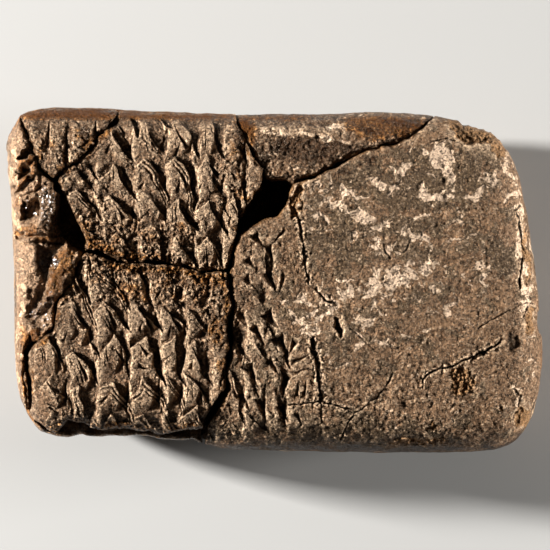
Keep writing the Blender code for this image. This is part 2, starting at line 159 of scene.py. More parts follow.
# ---------------- noise
TABLE = 512
table_rng = np.random.default_rng(415)
SHUFFLE = table_rng.permutation(TABLE)
SPACE_SLOPES = table_rng.normal(size=(TABLE, 3)).astype(np.float32)
SPACE_SLOPES /= np.linalg.norm(SPACE_SLOPES, axis=1, keepdims=True)
flat_slopes = np.exp(2j * math.pi * table_rng.random(TABLE)).astype(np.complex64)
FLAT_SLOPES = np.stack([flat_slopes.real, flat_slopes.imag], axis=1)
SPACE_GAIN, FLAT_GAIN = 1.6, 1.5  # these bring both kinds of noise to about -1 to 1
SEED_SHIFT, OCTAVE_SHIFT, UPWARD_SHIFT = 17.31, 5.7, 0.37  # how far apart seeds and octaves lie


def slope_noise(slopes, *places):
    """Smooth noise with bumps one unit apart, in as many directions as there are places."""
    cells = [np.floor(place).astype(np.int64) for place in places]
    parts = [(place - cell).astype(np.float32) for place, cell in zip(places, cells)]
    fades = [part * part * part * (part * (part * 6 - 15) + 10) for part in parts]
    total = 0.0
    for corner in np.ndindex(*[2] * len(places)):
        index, weight = 0, 1.0
        for cell, fade, step in zip(cells, fades, corner):
            index = SHUFFLE[(index + cell + step) % TABLE]
            weight = weight * (fade if step else 1 - fade)
        slope = slopes[index]
        rise = sum(slope[..., axis] * (part - step) for axis, (part, step) in enumerate(zip(parts, corner)))
        total = total + weight * rise
    return total


def fractal(x, y, z, wavelength, octaves, seed, gain=0.5):
    """Noise with detail from the wavelength down, halved at each octave. Flat where z is None."""
    total, size = 0.0, 1.0
    for octave in range(octaves):
        scale = 2.0 ** octave / wavelength
        shift = SEED_SHIFT * seed + OCTAVE_SHIFT * octave
        u, v = x * scale + shift, y * scale - shift
        if z is None:
            layer = FLAT_GAIN * slope_noise(FLAT_SLOPES, u, v)
        else:
            layer = SPACE_GAIN * slope_noise(SPACE_SLOPES, u, v, z * scale + UPWARD_SHIFT * shift)
        total = total + size * layer
        size *= gain
    return total


def smooth_step(value, low, high):
    """0 up to low, 1 from high on, and a smooth rise between them."""
    share = np.clip((value - low) / (high - low), 0.0, 1.0)
    return share * share * (3 - 2 * share)


# ---------------- distances
def line_distance(x, y, points):
    """Distance to an open line."""
    nearest = np.full(x.shape, FAR * FAR)
    for (ax, ay), (bx, by) in zip(points, points[1:]):
        dx, dy = bx - ax, by - ay
        share = np.clip(((x - ax) * dx + (y - ay) * dy) / (dx * dx + dy * dy), 0.0, 1.0)
        nearest = np.minimum(nearest, (x - ax - share * dx) ** 2 + (y - ay - share * dy) ** 2)
    return np.sqrt(nearest)


def signed_distance(x, y, loop):
    """Distance to a closed loop, negative inside it."""
    loop = [point for i, point in enumerate(loop) if point != loop[i - 1]]
    inside = np.zeros(x.shape, bool)
    for (ax, ay), (bx, by) in zip(loop, loop[1:] + loop[:1]):
        if ay != by:
            crosses = (ay > y) != (by > y)
            inside ^= crosses & (x < ax + (bx - ax) * (y - ay) / (by - ay))
    distance = line_distance(x, y, loop + loop[:1])
    return np.where(inside, -distance, distance)


# ---------------- maps of the written face
MAP_STEP = 0.1
MAP_MARGIN = 1.6
PAST_LAST = 1.001  # keeps a place at the far edge of a grid inside its last cell
BLUR_MARGIN = 40  # points added around a map while it is blurred
OUTLINE_RAYS = 240
map_x = np.arange(LOW[0] - MAP_MARGIN, HIGH[0] + MAP_MARGIN, MAP_STEP)
map_y = np.arange(LOW[1] - MAP_MARGIN, HIGH[1] + MAP_MARGIN, MAP_STEP)
GX, GY = np.meshgrid(map_x, map_y, indexing="ij")


def face_noise(wavelength, octaves, seed, gain=0.5):
    """Noise over the whole face."""
    return fractal(GX, GY, None, wavelength, octaves, seed, gain)


def sample(grid, x, y):
    """A map's value between its points."""
    u = np.clip((x - map_x[0]) / MAP_STEP, 0, len(map_x) - PAST_LAST)
    v = np.clip((y - map_y[0]) / MAP_STEP, 0, len(map_y) - PAST_LAST)
    i, j = u.astype(int), v.astype(int)
    s, t = u - i, v - j
    low = grid[i, j] * (1 - t) + grid[i, j + 1] * t
    high = grid[i + 1, j] * (1 - t) + grid[i + 1, j + 1] * t
    return low * (1 - s) + high * s


def blurred(grid, sigma):
    """The map with everything finer than sigma smoothed away."""
    padded = np.pad(grid, BLUR_MARGIN, mode="edge")
    kx = np.fft.fftfreq(padded.shape[0], MAP_STEP)[:, None]
    ky = np.fft.rfftfreq(padded.shape[1], MAP_STEP)[None, :]
    soft = np.exp(-2 * (math.pi * sigma) ** 2 * (kx ** 2 + ky ** 2))
    result = np.fft.irfft2(np.fft.rfft2(padded) * soft, s=padded.shape)
    return result[BLUR_MARGIN:-BLUR_MARGIN, BLUR_MARGIN:-BLUR_MARGIN]


def window(points, margin):
    """The part of the maps around some points."""
    xs, ys = zip(*points)
    i0, i1 = np.searchsorted(map_x, (min(xs) - margin, max(xs) + margin))
    j0, j1 = np.searchsorted(map_y, (min(ys) - margin, max(ys) + margin))
    return slice(i0, i1), slice(j0, j1)


def felt_outline(height):
    """The tablet's outline at a height, felt inwards from outside in the CAD model."""
    graph = bpy.context.evaluated_depsgraph_get()
    trees = [BVHTree.FromObject(node, graph) for node in frame["nodes"].values()]
    angles = 2 * math.pi * np.arange(OUTLINE_RAYS) / OUTLINE_RAYS
    reach = []
    for angle in angles:
        out = Vector((math.cos(angle), math.sin(angle), 0.0))
        start = out * FAR * MM + Vector((0, 0, height * MM))
        hits = [tree.ray_cast(start, -out)[0] for tree in trees]
        reach.append(max(hit.xy.dot(out.xy) for hit in hits if hit) / MM)
    # A ray that slips into a joint goes too far, so each reach is the middle one of its neighbours'.
    near = np.median([np.roll(reach, shift) for shift in range(-3, 4)], axis=0)
    return list(zip(near * np.cos(angles), near * np.sin(angles)))


def warp(x, y, z):
    """How far torn edges wander from their plain line."""
    return [
        0.24 * fractal(x, y, z, 2.6, 2, seed) + 0.13 * fractal(x, y, z, 0.8, 2, seed + 2)
        for seed in (1, 2)
    ]


WX, WY = warp(GX, GY, None)
EDGE = -signed_distance(GX, GY, felt_outline(MID_HEIGHT))  # distance in from the outline
# Distance to the edge of each region, negative inside it.
NEAR = {name: signed_distance(GX + WX, GY + WY, loop) for name, loop in REGIONS.items()}


def on(name):
    """1 on a region and 0 off it."""
    return 1 - smooth_step(NEAR[name], -0.2, 0.2)


def blobs(shapes, rough=1.0):
    """A map of uneven ellipses: centre, half sizes, turn, height and how soft each rim is."""
    total = np.zeros_like(GX)
    for centre, size, turn, height, soft in shapes:
        part = window([centre], max(size) * (1 + soft) + 0.8 * rough)
        x, y = GX[part] + rough * WX[part] - centre[0], GY[part] + rough * WY[part] - centre[1]
        c, s = math.cos(math.radians(turn)), math.sin(math.radians(turn))
        reach = np.sqrt(((x * c + y * s) / size[0]) ** 2 + ((y * c - x * s) / size[1]) ** 2)
        total[part] += height * (1 - smooth_step(reach, 1 - soft, 1 + soft))
    return total


def grooves(lines):
    """V-shaped cuts along lines of varying width: points, width and depth."""
    total = np.zeros_like(GX)
    for points, width, depth in lines:
        part = window(points, 2 * width)
        x, y = GX[part], GY[part]
        varied = width * (1 + 0.9 * fractal(x, y, None, 1.7, 2, 8))
        away = line_distance(x + 0.9 * WX[part], y + 0.9 * WY[part], points)
        cut = depth * np.clip(1.15 - 2 * away / np.maximum(varied, 0.05), 0, 1)
        total[part] = np.maximum(total[part], cut)
    return total


# ---------------- writing
STROKES = np.random.default_rng(20)
DEEPEST_SHARE = 0.30  # how far along a stroke its deepest point lies


def press(pressed, head, tail, width, depth, lean):
    """One wedge pressed into the clay: a three-cornered head that runs out along a tail.

    lean moves the deepest point to the right of the stroke, which makes that side steep.
    """
    head, tail = np.array(head, float), np.array(tail, float)
    length = np.linalg.norm(tail - head)
    part = window([head, tail], width)
    along = (tail - head) / length
    across = np.array([along[1], -along[0]])
    x = GX[part] + 0.55 * WX[part] - head[0]
    y = GY[part] + 0.55 * WY[part] - head[1]
    u = x * across[0] + y * across[1]
    v = x * along[0] + y * along[1]
    side = -1.0 if across[0] < 0 else 1.0
    corners = [(-width / 2, 0.0), (width / 2, 0.0), (side * lean * width, length)]
    deepest = (side * lean * width, DEEPEST_SHARE * length)
    inside = 1.0
    for (ax, ay), (bx, by) in zip(corners, corners[1:] + corners[:1]):
        nx, ny = ay - by, bx - ax
        at_deepest = (deepest[0] - ax) * nx + (deepest[1] - ay) * ny
        share = ((u - ax) * nx + (v - ay) * ny) / at_deepest
        inside = np.minimum(inside, share)
    pressed[part] = np.maximum(pressed[part], depth * np.clip(inside, 0, 1))


# Strokes of one sign: head and tail across (-1 to 0) and along (0 to 1) its cell, width, depth and
# lean. The narrow ones stand in pairs.
SIGNS = [
    [
        ((-0.14, 0.02), (-0.02, 1.00), 0.34, 0.80, 0.45), ((-0.24, 0.22), (-0.50, 0.92), 0.22, 0.60, -0.3),
        ((-0.36, 0.16), (-0.60, 0.80), 0.07, 0.40, 0), ((-0.44, 0.12), (-0.68, 0.72), 0.06, 0.35, 0),
    ],
    [
        ((-0.20, 0.06), (-0.10, 0.94), 0.42, 0.90, 0.45), ((-0.08, 0.10), (-0.02, 0.80), 0.07, 0.45, 0),
        ((-0.90, 0.30), (-0.46, 0.60), 0.16, 0.40, 0.2),
    ],
    [
        ((-0.06, 0.12), (-0.56, 0.98), 0.26, 0.80, -0.3), ((-0.14, 0.02), (-0.08, 0.70), 0.30, 0.70, 0.45),
        ((-0.62, 0.06), (-0.50, 0.46), 0.20, 0.45, 0.3),
    ],
    [
        ((-0.18, 0.04), (-0.04, 0.62), 0.40, 0.90, 0.4), ((-0.06, 0.50), (-0.46, 1.06), 0.24, 0.75, -0.3),
        ((-0.18, 0.42), (-0.58, 0.96), 0.07, 0.45, 0), ((-0.80, 0.10), (-0.56, 0.50), 0.14, 0.40, 0),
    ],
    [
        ((-0.12, 0.20), (-0.06, 1.04), 0.36, 0.85, 0.45), ((-0.64, 0.20), (-0.14, 0.10), 0.14, 0.55, 0),
        ((-0.70, 0.30), (-0.20, 0.24), 0.06, 0.40, 0), ((-0.30, 0.56), (-0.62, 1.00), 0.20, 0.60, -0.3),
    ],
    [
        ((-0.22, 0.08), (-0.30, 0.96), 0.30, 0.75, 0.4), ((-0.04, 0.30), (-0.30, 0.86), 0.20, 0.75, -0.3),
        ((-0.52, 0.30), (-0.56, 0.90), 0.07, 0.40, 0), ((-0.62, 0.26), (-0.68, 0.84), 0.06, 0.35, 0),
    ],
]

# Columns of signs: the points of each valley from the top down, its width, cell height and strength.
COLUMNS = [
    ([(-28, 17.2), (-26.4, 6)], 4.4, 4.8, 0.8),
    ([(-21.6, 24.2), (-21.2, 4)], 5, 5.2, 0.87),
    ([(-16.6, 24.2), (-16.4, 3.4)], 5, 5.3, 0.87),
    ([(-12.3, 24.2), (-12.2, 3)], 4.4, 5.2, 0.87),
    ([(-8, 24), (-7.8, 3)], 4.5, 5.4, 0.87),
    ([(-4.2, 22), (-4.6, 8)], 3.6, 4.6, 0.8),
    ([(-32.4, -8), (-31.6, -14), (-31.2, -24)], 4.6, 6, 1),
    ([(-28.3, 3), (-27.9, -9), (-26.9, -16.5), (-28.4, -23)], 4.8, 6, 1),
    ([(-23.8, 3), (-22.3, -8), (-21.9, -24)], 5, 6, 1),
    ([(-19.2, 2.8), (-17.6, -7.4), (-17.2, -24.4)], 4.8, 5.9, 1),
    ([(-14.2, 2), (-13.4, -10), (-14.6, -24.4)], 4.4, 5.8, 1),
    ([(-10.2, 1), (-10.2, -24)], 4.2, 5.6, 0.9),
    ([(0.2, 5.4), (-0.2, 0.6), (-1.2, -4), (-0.8, -12), (-1.4, -22.4)], 4.8, 4.6, 0.35),
    ([(-4.6, -8.4), (-5, -22)], 3.4, 4.6, 0.45),
    ([(2.3, -8.8), (1.9, -14), (1.7, -21)], 3, 4.2, 0.4),
]
STROKE_DEPTH = 1.55
COLUMN_REACH = 1.3  # how far from its valley a column reaches, in widths
VALLEY_DEPTH = 0.53
ROUNDING = 0.14  # how far the sides of a column lie under its middle
STEP_DEPTH = 0.54  # how far a cell's foot lies under the top of the cell below it
RIB_DEPTH = 0.28
RIB_PLACES = (0.89, 0.72)  # how far up its cell each rib lies
ROOF_PEAK = 0.52  # a cell's foot is roof-shaped: where the peak lies, left of the valley
ROOF_SLOPES = (1.1, 1.7)  # and how steep it is left and right of the peak
JITTER = 0.06  # how far a stroke's ends stray, in shares of its cell

# Single strokes: head, tail, width and depth.
LONE_STROKES = [
    ((2.4, -12.6), (6.3, -10.9), 1, 0.8), ((2.6, -14.3), (6, -12.9), 0.8, 0.6),
    ((3.4, -18), (3.6, -14.8), 1, 0.9), ((4.5, -17.9), (4.8, -14.6), 0.9, 0.8),
    ((-3.2, 7), (-1.5, 4.2), 1.9, 1.1), ((1.9, 7.9), (-1, 4.8), 0.8, 0.9),
    ((-0.9, 5.4), (-0.2, 2), 1.3, 1.4), ((-4.4, 3.2), (-2.6, 1), 1.7, 1),
    ((-4.6, 0.6), (-3, -1.8), 1.9, 0.9), ((-1.4, 1.4), (0.2, -2.2), 2.2, 1.1),
    ((1.6, 1), (0.6, -2.4), 1.2, 0.7), ((-5.2, -4.6), (-4, -8.2), 1.8, 1.1),
    ((-1.4, -4.8), (0.4, -7.8), 2.4, 1.4), ((-3.3, -6.8), (-1.2, -10.8), 1.7, 1.3),
    ((0.2, -8.4), (1.9, -11.6), 2.6, 1.6), ((3.4, -8.8), (1.8, -11.8), 1.3, 1.2),
    ((-5.2, -10.4), (-3.4, -13), 1.6, 1), ((-4.2, -12.6), (-2.6, -16.8), 2.3, 1.6),
    ((-1, -12), (0.8, -15), 1.7, 1.2), ((2, -14), (0.9, -18), 2, 1.5),
    ((-5.4, -17), (-3.6, -20.4), 1.8, 1.3), ((-2.2, -17.8), (-1.4, -22.2), 2.1, 1.6),
    ((0.9, -18.6), (1.6, -22.8), 1.9, 1.5), ((3.2, -20), (4.2, -22.6), 1.2, 0.8),
    ((-34.5, 18.8), (-34.2, 24.9), 1.4, 1.5), ((-35.1, 17.8), (-35, 21.4), 0.7, 0.6),
    ((-31.4, 17.4), (-31.7, 24.6), 1, 1.1), ((-27.3, 21.6), (-27.1, 25), 1.1, 1.2),
    ((-28.4, 20.4), (-30, 22.8), 0.8, 0.7), ((-28, 19.4), (-29.4, 21.6), 0.6, 0.6),
    ((-29.2, 23.2), (-30.8, 24.8), 0.7, 0.5),
]


def press_signs(pressed, line, bottom, step, count, width, force):
    """One sign in each cell of a column, from the bottom up. line is its valley's (heights, places)."""
    for cell in range(count):
        base = bottom + cell * step
        sign = SIGNS[STROKES.integers(len(SIGNS))]
        for head, tail, stroke_width, depth, lean in sign:
            ends = []
            for across, along in (head, tail):
                jitter = STROKES.uniform(-JITTER, JITTER, 2)
                y = base + (along + jitter[0]) * step
                ends.append((np.interp(y, *line) + (across + jitter[1]) * width, y))
            strength = force * STROKE_DEPTH * depth * STROKES.uniform(0.75, 1.1)
            press(pressed, *ends, stroke_width * width, strength, lean)


def write_columns():
    """(depth pressed into the face, how much of it is written, how much of it strokes have smoothed)."""
    valleys, pressed, written = np.zeros_like(GX), np.zeros_like(GX), np.zeros_like(GX)
    for points, width, cell, force in COLUMNS:
        part = window(points, width * COLUMN_REACH)
        x, y = GX[part], GY[part]
        line = [point[1] for point in reverse(points)], [point[0] for point in reverse(points)]
        top, bottom = points[0][1], points[-1][1] - cell * STROKES.uniform(0, 0.6)
        count = max(1, round((top - bottom) / cell))
        step = (top - bottom) / count
        rows = count + 4  # the roofs of the top cells stand in rows past the last

        # Where each place lies: 0 across is the valley and -1 the column's left side.
        wave = 0.55 * fractal(x, y, None, 4.4, 2, 21)
        across = (x + 0.5 * WX[part] - np.interp(y, *line) + wave) / width
        from_peak = across + ROOF_PEAK + 0.28 * fractal(0.3 * x, y, None, 5.0, 1, 22)
        slope = np.where(from_peak < 0, *ROOF_SLOPES) * (1 + 0.5 * fractal(0.3 * x, y, None, 6.0, 1, 24))
        roof = slope * np.abs(from_peak)
        climb = (y + 0.5 * WY[part] - bottom) / step + roof + 0.3 * fractal(x, y, None, 7.0, 1, 23)
        row = np.clip(np.floor(climb).astype(int), 0, rows - 1)
        across = across + STROKES.uniform(-0.12, 0.12, rows)[row]

        # The step at each cell's foot, with ribs under it.
        rise = climb % 1.0
        relief = STEP_DEPTH * (1 - smooth_step(rise, 0.02, 0.8)) * smooth_step(rise, 0.0, 0.045)
        relief = relief * STROKES.uniform(0.5, 1.4, rows)[row] * (1 + 0.7 * smooth_step(from_peak, 0.0, 0.5))
        ribs = sum(np.clip(1.3 - np.abs(rise - place) / 0.05, 0, 1) for place in RIB_PLACES)
        ribs = ribs * (0.3 + 0.7 * smooth_step(from_peak, -0.05, 0.08))
        relief = relief + RIB_DEPTH * ribs * STROKES.uniform(-0.8, 1.3, rows).clip(0)[row]

        # The valley, shallow to its left and steep to its right.
        left = smooth_step(across, -0.85, 0.03) ** 1.7
        right = 1 - smooth_step(across, 0.0, 0.11)
        valley = VALLEY_DEPTH * np.where(across < 0, left, right) + ROUNDING * (2 * across + 1) ** 2
        within = smooth_step(y, bottom - 1.0, bottom + 0.4) * (1 - smooth_step(y, top - 0.4, top + 1.0))
        inside = within * smooth_step(across, -1.05, -0.9) * (1 - smooth_step(across, 0.12, 0.2))
        valleys[part] = np.maximum(valleys[part], force * inside * (valley + relief))
        near = within * smooth_step(across, -1.15, -0.8) * (1 - smooth_step(across, 0.2, 0.5))
        written[part] = np.maximum(written[part], near)
        press_signs(pressed, line, bottom, step, count, width, force)
    for head, tail, width, depth in LONE_STROKES:
        press(pressed, head, tail, width, depth, 0.2)
    return valleys + 0.8 * pressed, written, smooth_step(pressed, 0.05, 0.3)


# ---------------- cracks, chips and worn patches
# Cracks and ruled lines on the main fragment: points, width and depth.
MAIN_CRACKS = [
    ([(3.6, 9.9), (4.4, 6.2), (4.8, 2.5), (5.4, -0.8)], 0.42, 0.7),
    ([(5.9, -8.9), (6.6, -12.6), (6.8, -15.1), (7.3, -18.3)], 0.7, 0.9),
    ([(2.2, -18.9), (4.1, -18.8), (7.2, -18.3), (10.2, -19.2), (12.1, -19.7)], 0.3, 0.7),
    ([(7.2, -18.5), (7.3, -20.8), (7.2, -23.1)], 0.25, 0.4),
    ([(10.2, -24.2), (11, -22.3), (12.1, -20.3), (15.6, -18), (17.2, -15.8), (18.1, -14.2)], 0.26, 0.5),
    ([(34.2, -9.4), (31.5, -11.1), (27.2, -12.8), (23.8, -14), (22.5, -15.1), (22.7, -16.3)], 0.3, 0.9),
    ([(37.6, 11.4), (36.8, 10.5), (37.3, 9), (37.6, 7), (38.1, 3.8), (37.6, 2.3), (37.3, -1.1)], 0.28, 0.9),
    ([(6.5, -1.2), (7.2, -2.5), (7.8, -3.2), (9.5, -3.7)], 0.4, 0.5),
    ([(11, -6.9), (13, -8.6), (15.2, -10.5)], 0.2, 0.2),
    ([(16.6, 5.4), (16.9, 4.2), (17.6, 3.4)], 0.25, 0.35),
    ([(20.9, 6.4), (20.2, 5), (19.6, 4.2)], 0.25, 0.35),
    ([(23.9, 20.9), (26, 21.5), (27.6, 21.2)], 0.3, 0.4),
    ([(31, -7.4), (33.4, -5.8), (36.6, -4), (39.4, -3.4)], 0.2, 0.3),
    ([(36.4, -16.4), (37.4, -17.6), (37.1, -19.8), (36.2, -21)], 0.25, 0.4),
    ([(39.9, -18.4), (39.3, -20.4), (39, -22.2)], 0.3, 0.5),
    ([(38.6, -4), (38, -5.6), (38.8, -7.2), (39.6, -7.6)], 0.3, 0.5),
]

# Hollows and lumps of the main fragment. Like every list of blobs that follows, it holds for each one
# the centre, half sizes, turn in degrees, height or strength, and how soft its rim is.
MAIN_SHAPES = [
    ((9.9, -7.2), (0.45, 1.2), 8, -1.6, 0.4), ((10.7, -6.4), (0.5, 1.2), 10, 0.3, 0.6),
    ((31.2, -11.4), (1.4, 0.4), 30, -0.5, 0.5), ((36.2, -9.3), (0.9, 1.4), 10, -0.7, 0.6),
    ((20.2, -19.1), (0.9, 0.8), 0, -0.3, 0.6), ((16.2, -17.6), (1.5, 0.7), 35, -0.35, 0.7),
    ((33.6, 21.5), (1.1, 1), 0, 0.7, 0.5), ((25.9, 15), (0.4, 0.4), 0, -0.4, 0.5),
    ((-5.4, -8.2), (1, 2.4), 0, -0.8, 0.6), ((-8.4, -22.6), (3.2, 3.2), 0, -1.4, 0.5),
    ((1, -24.5), (9, 2), 0, -0.5, 0.6), ((2.4, -0.6), (3, 6), 0, -0.25, 0.5),
    ((-2.6, -8.2), (1.5, 3), 0, 0.35, 0.8), ((-0.8, -16.2), (1.5, 3.2), 0, 0.4, 0.8),
    ((-3.6, 1.6), (1.6, 2.4), 0, 0.3, 0.8), ((-4.6, -15), (1, 2.6), 0, 0.3, 0.8),
    ((4.6, -14), (1.8, 3.8), 0, 0.15, 0.5),
    ((15, -1), (8, 5), 0, 0.15, 0.8), ((30, -2), (6, 12), 10, -0.15, 0.8),
]

# Chips that show the clay inside.
MAIN_CHIPS = [
    ((30.6, 22.8), (4, 1.9), -18, 1.5, 0.2), ((32.4, 20.9), (0.9, 0.7), 0, 0.8, 0.3),
    ((34.2, 20.4), (1, 1.8), 10, 0.6, 0.5),
    ((39.2, -6.4), (0.9, 2), 0, 0.5, 0.4), ((38, -20.9), (1.2, 1.6), 20, 0.6, 0.4),
    ((28.4, -15.1), (2, 2.1), 0, 0.4, 0.5), ((3.5, 12.2), (0.7, 2.8), -14, 0.8, 0.4),
    ((38.6, 4), (0.5, 6), 4, 0.25, 0.5), ((22, -24.6), (5, 0.9), 0, 0.3, 0.5),
    ((23.8, -22), (0.6, 0.5), 0, 0.3, 0.5), ((34.6, -19.6), (0.7, 0.5), 30, 0.3, 0.5),
]

# Where the outline is bitten away.
BITES = [
    ((30.8, 25.4), (4.2, 2), -18, 0.8, 0.3), ((36, 22), (1.6, 2.4), 35, 0.5, 0.4),
    ((40.6, -6.4), (1.2, 1.6), 0, 0.4, 0.5), ((-41.2, 18.6), (1, 1.6), 0, 0.4, 0.6),
]

# Worn, paler patches of the main fragment, and where its darker skin is left. At a strength of 1 a
# patch is solid, and at half of that it is lace.
WORN_PATCHES = [
    ((25, 18.8), (2.2, 1.5), -10, 1.5, 0.5), ((26.7, 15.8), (0.9, 2.2), 5, 0.85, 0.5),
    ((25.2, 12.7), (2.6, 0.7), 0, 0.7, 0.6), ((32.4, 15.2), (1.6, 0.9), 25, 0.75, 0.6),
    ((30.6, 12.8), (1.5, 0.8), 35, 0.6, 0.6), ((16.8, 14.4), (2, 1), -20, 0.55, 0.6),
    ((20, 16.9), (3, 0.8), -10, 0.55, 0.6), ((22.2, 13.6), (1.8, 1), -30, 0.55, 0.6),
    ((8.6, 13.2), (5, 2.4), -10, 0.5, 0.5), ((6.4, 9.6), (4, 2.4), 0, 0.48, 0.5),
    ((14, 9), (3.4, 1.3), -25, 0.65, 0.6), ((11.8, 6.6), (1.6, 1.8), 0, 0.55, 0.6),
    ((20, 7.4), (2.8, 0.8), -15, 0.6, 0.6), ((16.6, 4.4), (1, 2.4), -20, 0.5, 0.6),
    ((18.4, 1), (3.4, 1.6), 20, 0.6, 0.6), ((15.4, -1.6), (3.4, 1.4), 5, 0.58, 0.6),
    ((5, -4.8), (4.4, 3.6), 0, 0.64, 0.6), ((10.4, -1.6), (3.4, 2), 0, 0.35, 0.6),
    ((22, -2.4), (9, 7), 0, 0.3, 0.8), ((12, -10), (8, 5), 0, 0.3, 0.8),
    ((27, 4), (9, 9), 0, 0.2, 0.8), ((20, 14), (16, 7), 0, 0.2, 0.4),
    ((36.6, 14), (1.6, 7), 12, 0.45, 0.5), ((38.6, 3), (1.5, 12), 3, 0.48, 0.5),
    ((38.2, -10), (1.6, 9), 0, 0.45, 0.6), ((37.4, -19.6), (2, 3), 20, 0.45, 0.6),
]
DARK_PATCHES = [
    ((16, 12), (9.5, 7.5), -12, 0.68, 0.5), ((8, 4), (4.5, 4.5), 0, 0.72, 0.5),
    ((35, 3), (2, 2.6), 0, 0.9, 0.5), ((28, 17), (8, 5), 0, 0.68, 0.5),
    ((10, -23), (20, 3.5), 0, 0.65, 0.6), ((28, 5), (9, 9), 0, 0.4, 0.6),
    ((14, -9), (9, 7), 0, 0.45, 0.6), ((20, 4.8), (1.7, 1.6), 0, 0.7, 0.4),
    ((-1.4, -10), (5, 13), 0, 0.5, 0.5),
]

# Hollows and lumps of the fragment at the top edge, and where it is bare.
TOP_SHAPES = [
    ((0.5, 18), (3, 3.2), 0, -0.6, 0.6), ((5.2, 19.4), (4.6, 1.8), -8, -0.5, 0.7),
    ((3, 22.8), (7.5, 0.8), -3, 0.35, 0.6), ((0.4, 16.6), (3, 1.2), 10, 0.4, 0.6),
    ((14, 21.2), (5, 1.4), -12, 0.3, 0.6), ((9, 17.8), (2, 0.8), -25, 0.3, 0.6),
]
TOP_BARE = [
    ((-0.6, 22.6), (3, 1), 5, 0.95, 0.5), ((4.6, 22.2), (3.2, 0.5), -6, 0.9, 0.6),
    ((10.8, 23.2), (2.6, 0.7), -2, 1, 0.5), ((8.4, 21.4), (4, 0.4), -12, 0.7, 0.6),
    ((-0.4, 17.4), (2.6, 1.6), 0, 0.45, 0.6), ((4.4, 17), (2.8, 0.6), 18, 0.5, 0.6),
]

# Sooty places on the face, and painted shade along the top and bottom rims, where the rounded edge turns
# away from the light.
SOOT_AND_RIM_SHADE = [
    ((5.2, 19.6), (4.6, 1.9), -8, 1.6, 0.5), ((-4.8, 21), (0.9, 2.8), 20, 0.9, 0.5),
    ((19.8, 24), (4, 0.7), -4, 1.1, 0.6), ((12.4, 19.4), (3, 0.9), -22, 1, 0.6),
    ((1.4, 20.6), (1.6, 0.8), 20, 1, 0.6), ((14.6, 22.4), (2, 0.6), -14, 0.8, 0.6),
    ((-19, 25.2), (20, 1.3), 0, 0.5, 0.4), ((-28.6, 20.6), (0.9, 3.6), 0, 0.8, 0.5),
    ((-35.6, 23.4), (1.2, 1.6), 20, 0.6, 0.5), ((7.2, 25.4), (9, 0.9), 0, 0.7, 0.4),
    ((12, -27), (32, 1.8), 0, 1, 0.4), ((-23.4, -3.5), (1.2, 3.5), 0, 0.6, 0.6),
    ((-9.8, -5.5), (2, 4.5), -10, 0.65, 0.6), ((-34.4, -14), (1.6, 3.2), -15, 0.5, 0.6),
    ((-27.8, 10.5), (1.6, 1.6), 0, 0.5, 0.6), ((-9.2, 11), (1.4, 2), 20, 0.4, 0.6),
    ((11, 16.6), (4.6, 1), 18, 0.7, 0.6),
]

# Lobes of the corner flake, between the strokes pressed into it.
CORNER_SHAPES = [
    ((-33, 20.8), (1.3, 4.2), 0, 0.45, 0.8), ((-29.8, 21.4), (1.5, 3), -10, 0.45, 0.8),
    ((-36, 21.6), (0.7, 3), 18, 0.3, 0.7), ((-31.3, 20), (0.5, 3.4), 0, -0.35, 0.8),
]

# Hollows and lumps of the left strip, where it is ragged, dark and glossy, and its cracks.
DEEPEST_HOLLOW = -4.5
STRIP_SHAPES = [
    ((-38.7, 20.4), (1.9, 2.8), -15, 0.5, 0.8), ((-36.2, 21.2), (0.8, 2.4), 24, -0.7, 0.6),
    ((-37.4, 19.2), (1.5, 0.6), 40, -3.4, 0.35), ((-38, 16.5), (1.3, 0.5), 40, -3.4, 0.35),
    ((-39.6, 14.2), (0.4, 0.5), 0, -2.6, 0.4), ((-37.8, 14.4), (1.9, 0.7), 58, -2.6, 0.4),
    ((-36.8, 10.6), (1, 1.7), -8, -3.4, 0.35), ((-38.7, 6.7), (0.35, 0.9), -30, -2.6, 0.35),
    ((-37.3, 18), (1.9, 0.35), 38, 0.9, 0.7), ((-37.4, 15.8), (2.2, 0.3), 44, 0.7, 0.7),
    ((-34.2, 12), (1.5, 4.6), -6, 0.5, 0.9), ((-35.8, 13.2), (0.45, 3), -4, -0.8, 0.6),
    ((-31.6, 9.6), (1.4, 5), -18, -3.8, 0.8), ((-32.9, 9.2), (1.2, 4.4), -18, -0.9, 0.9),
    ((-37.5, 1.6), (2, 4.2), 0, 0.6, 0.7), ((-38.2, -5.6), (1.3, 3.4), 0, 0.3, 0.8),
    ((-33.6, -1.4), (3.2, 7.4), -22, -1.3, 0.5), ((-35, 3), (0.9, 2.8), 6, -2, 0.5),
    ((-31.9, 3), (2, 2.3), 0, 0.8, 0.8), ((-33.2, -1), (1.4, 2.2), -20, 2, 0.7),
    ((-35.3, -3.6), (1.7, 3), -20, -1.4, 0.45), ((-35.2, -3.8), (2, 0.35), 38, 1.1, 0.9),
    ((-34.6, -7.2), (1.4, 1.6), -20, -0.8, 0.5), ((-36.8, -10.2), (0.5, 1.1), 0, -3, 0.4),
    ((-37.8, -19.2), (0.5, 1.2), 25, -3, 0.4),
]
RAGGED_STRIP = [((-38.2, -14), (1.5, 7.5), 0, 0.3, 0.5), ((-36.6, -22), (2.5, 1.6), -40, 0.3, 0.5)]
GLOSSY_PATCHES = [
    ((-34.2, 12), (2, 5), -6, 1, 0.4), ((-36.8, 10.8), (1.2, 2.2), -8, 1, 0.4),
    ((-34.4, 3), (1.6, 3), 6, 1.1, 0.4), ((-35.1, -4.6), (1.9, 4.2), -18, 1, 0.4),
    ((-31.6, 9.6), (1.8, 5.4), -18, 1, 0.4), ((-37.8, 14.4), (1.9, 0.7), 58, 1, 0.4),
]
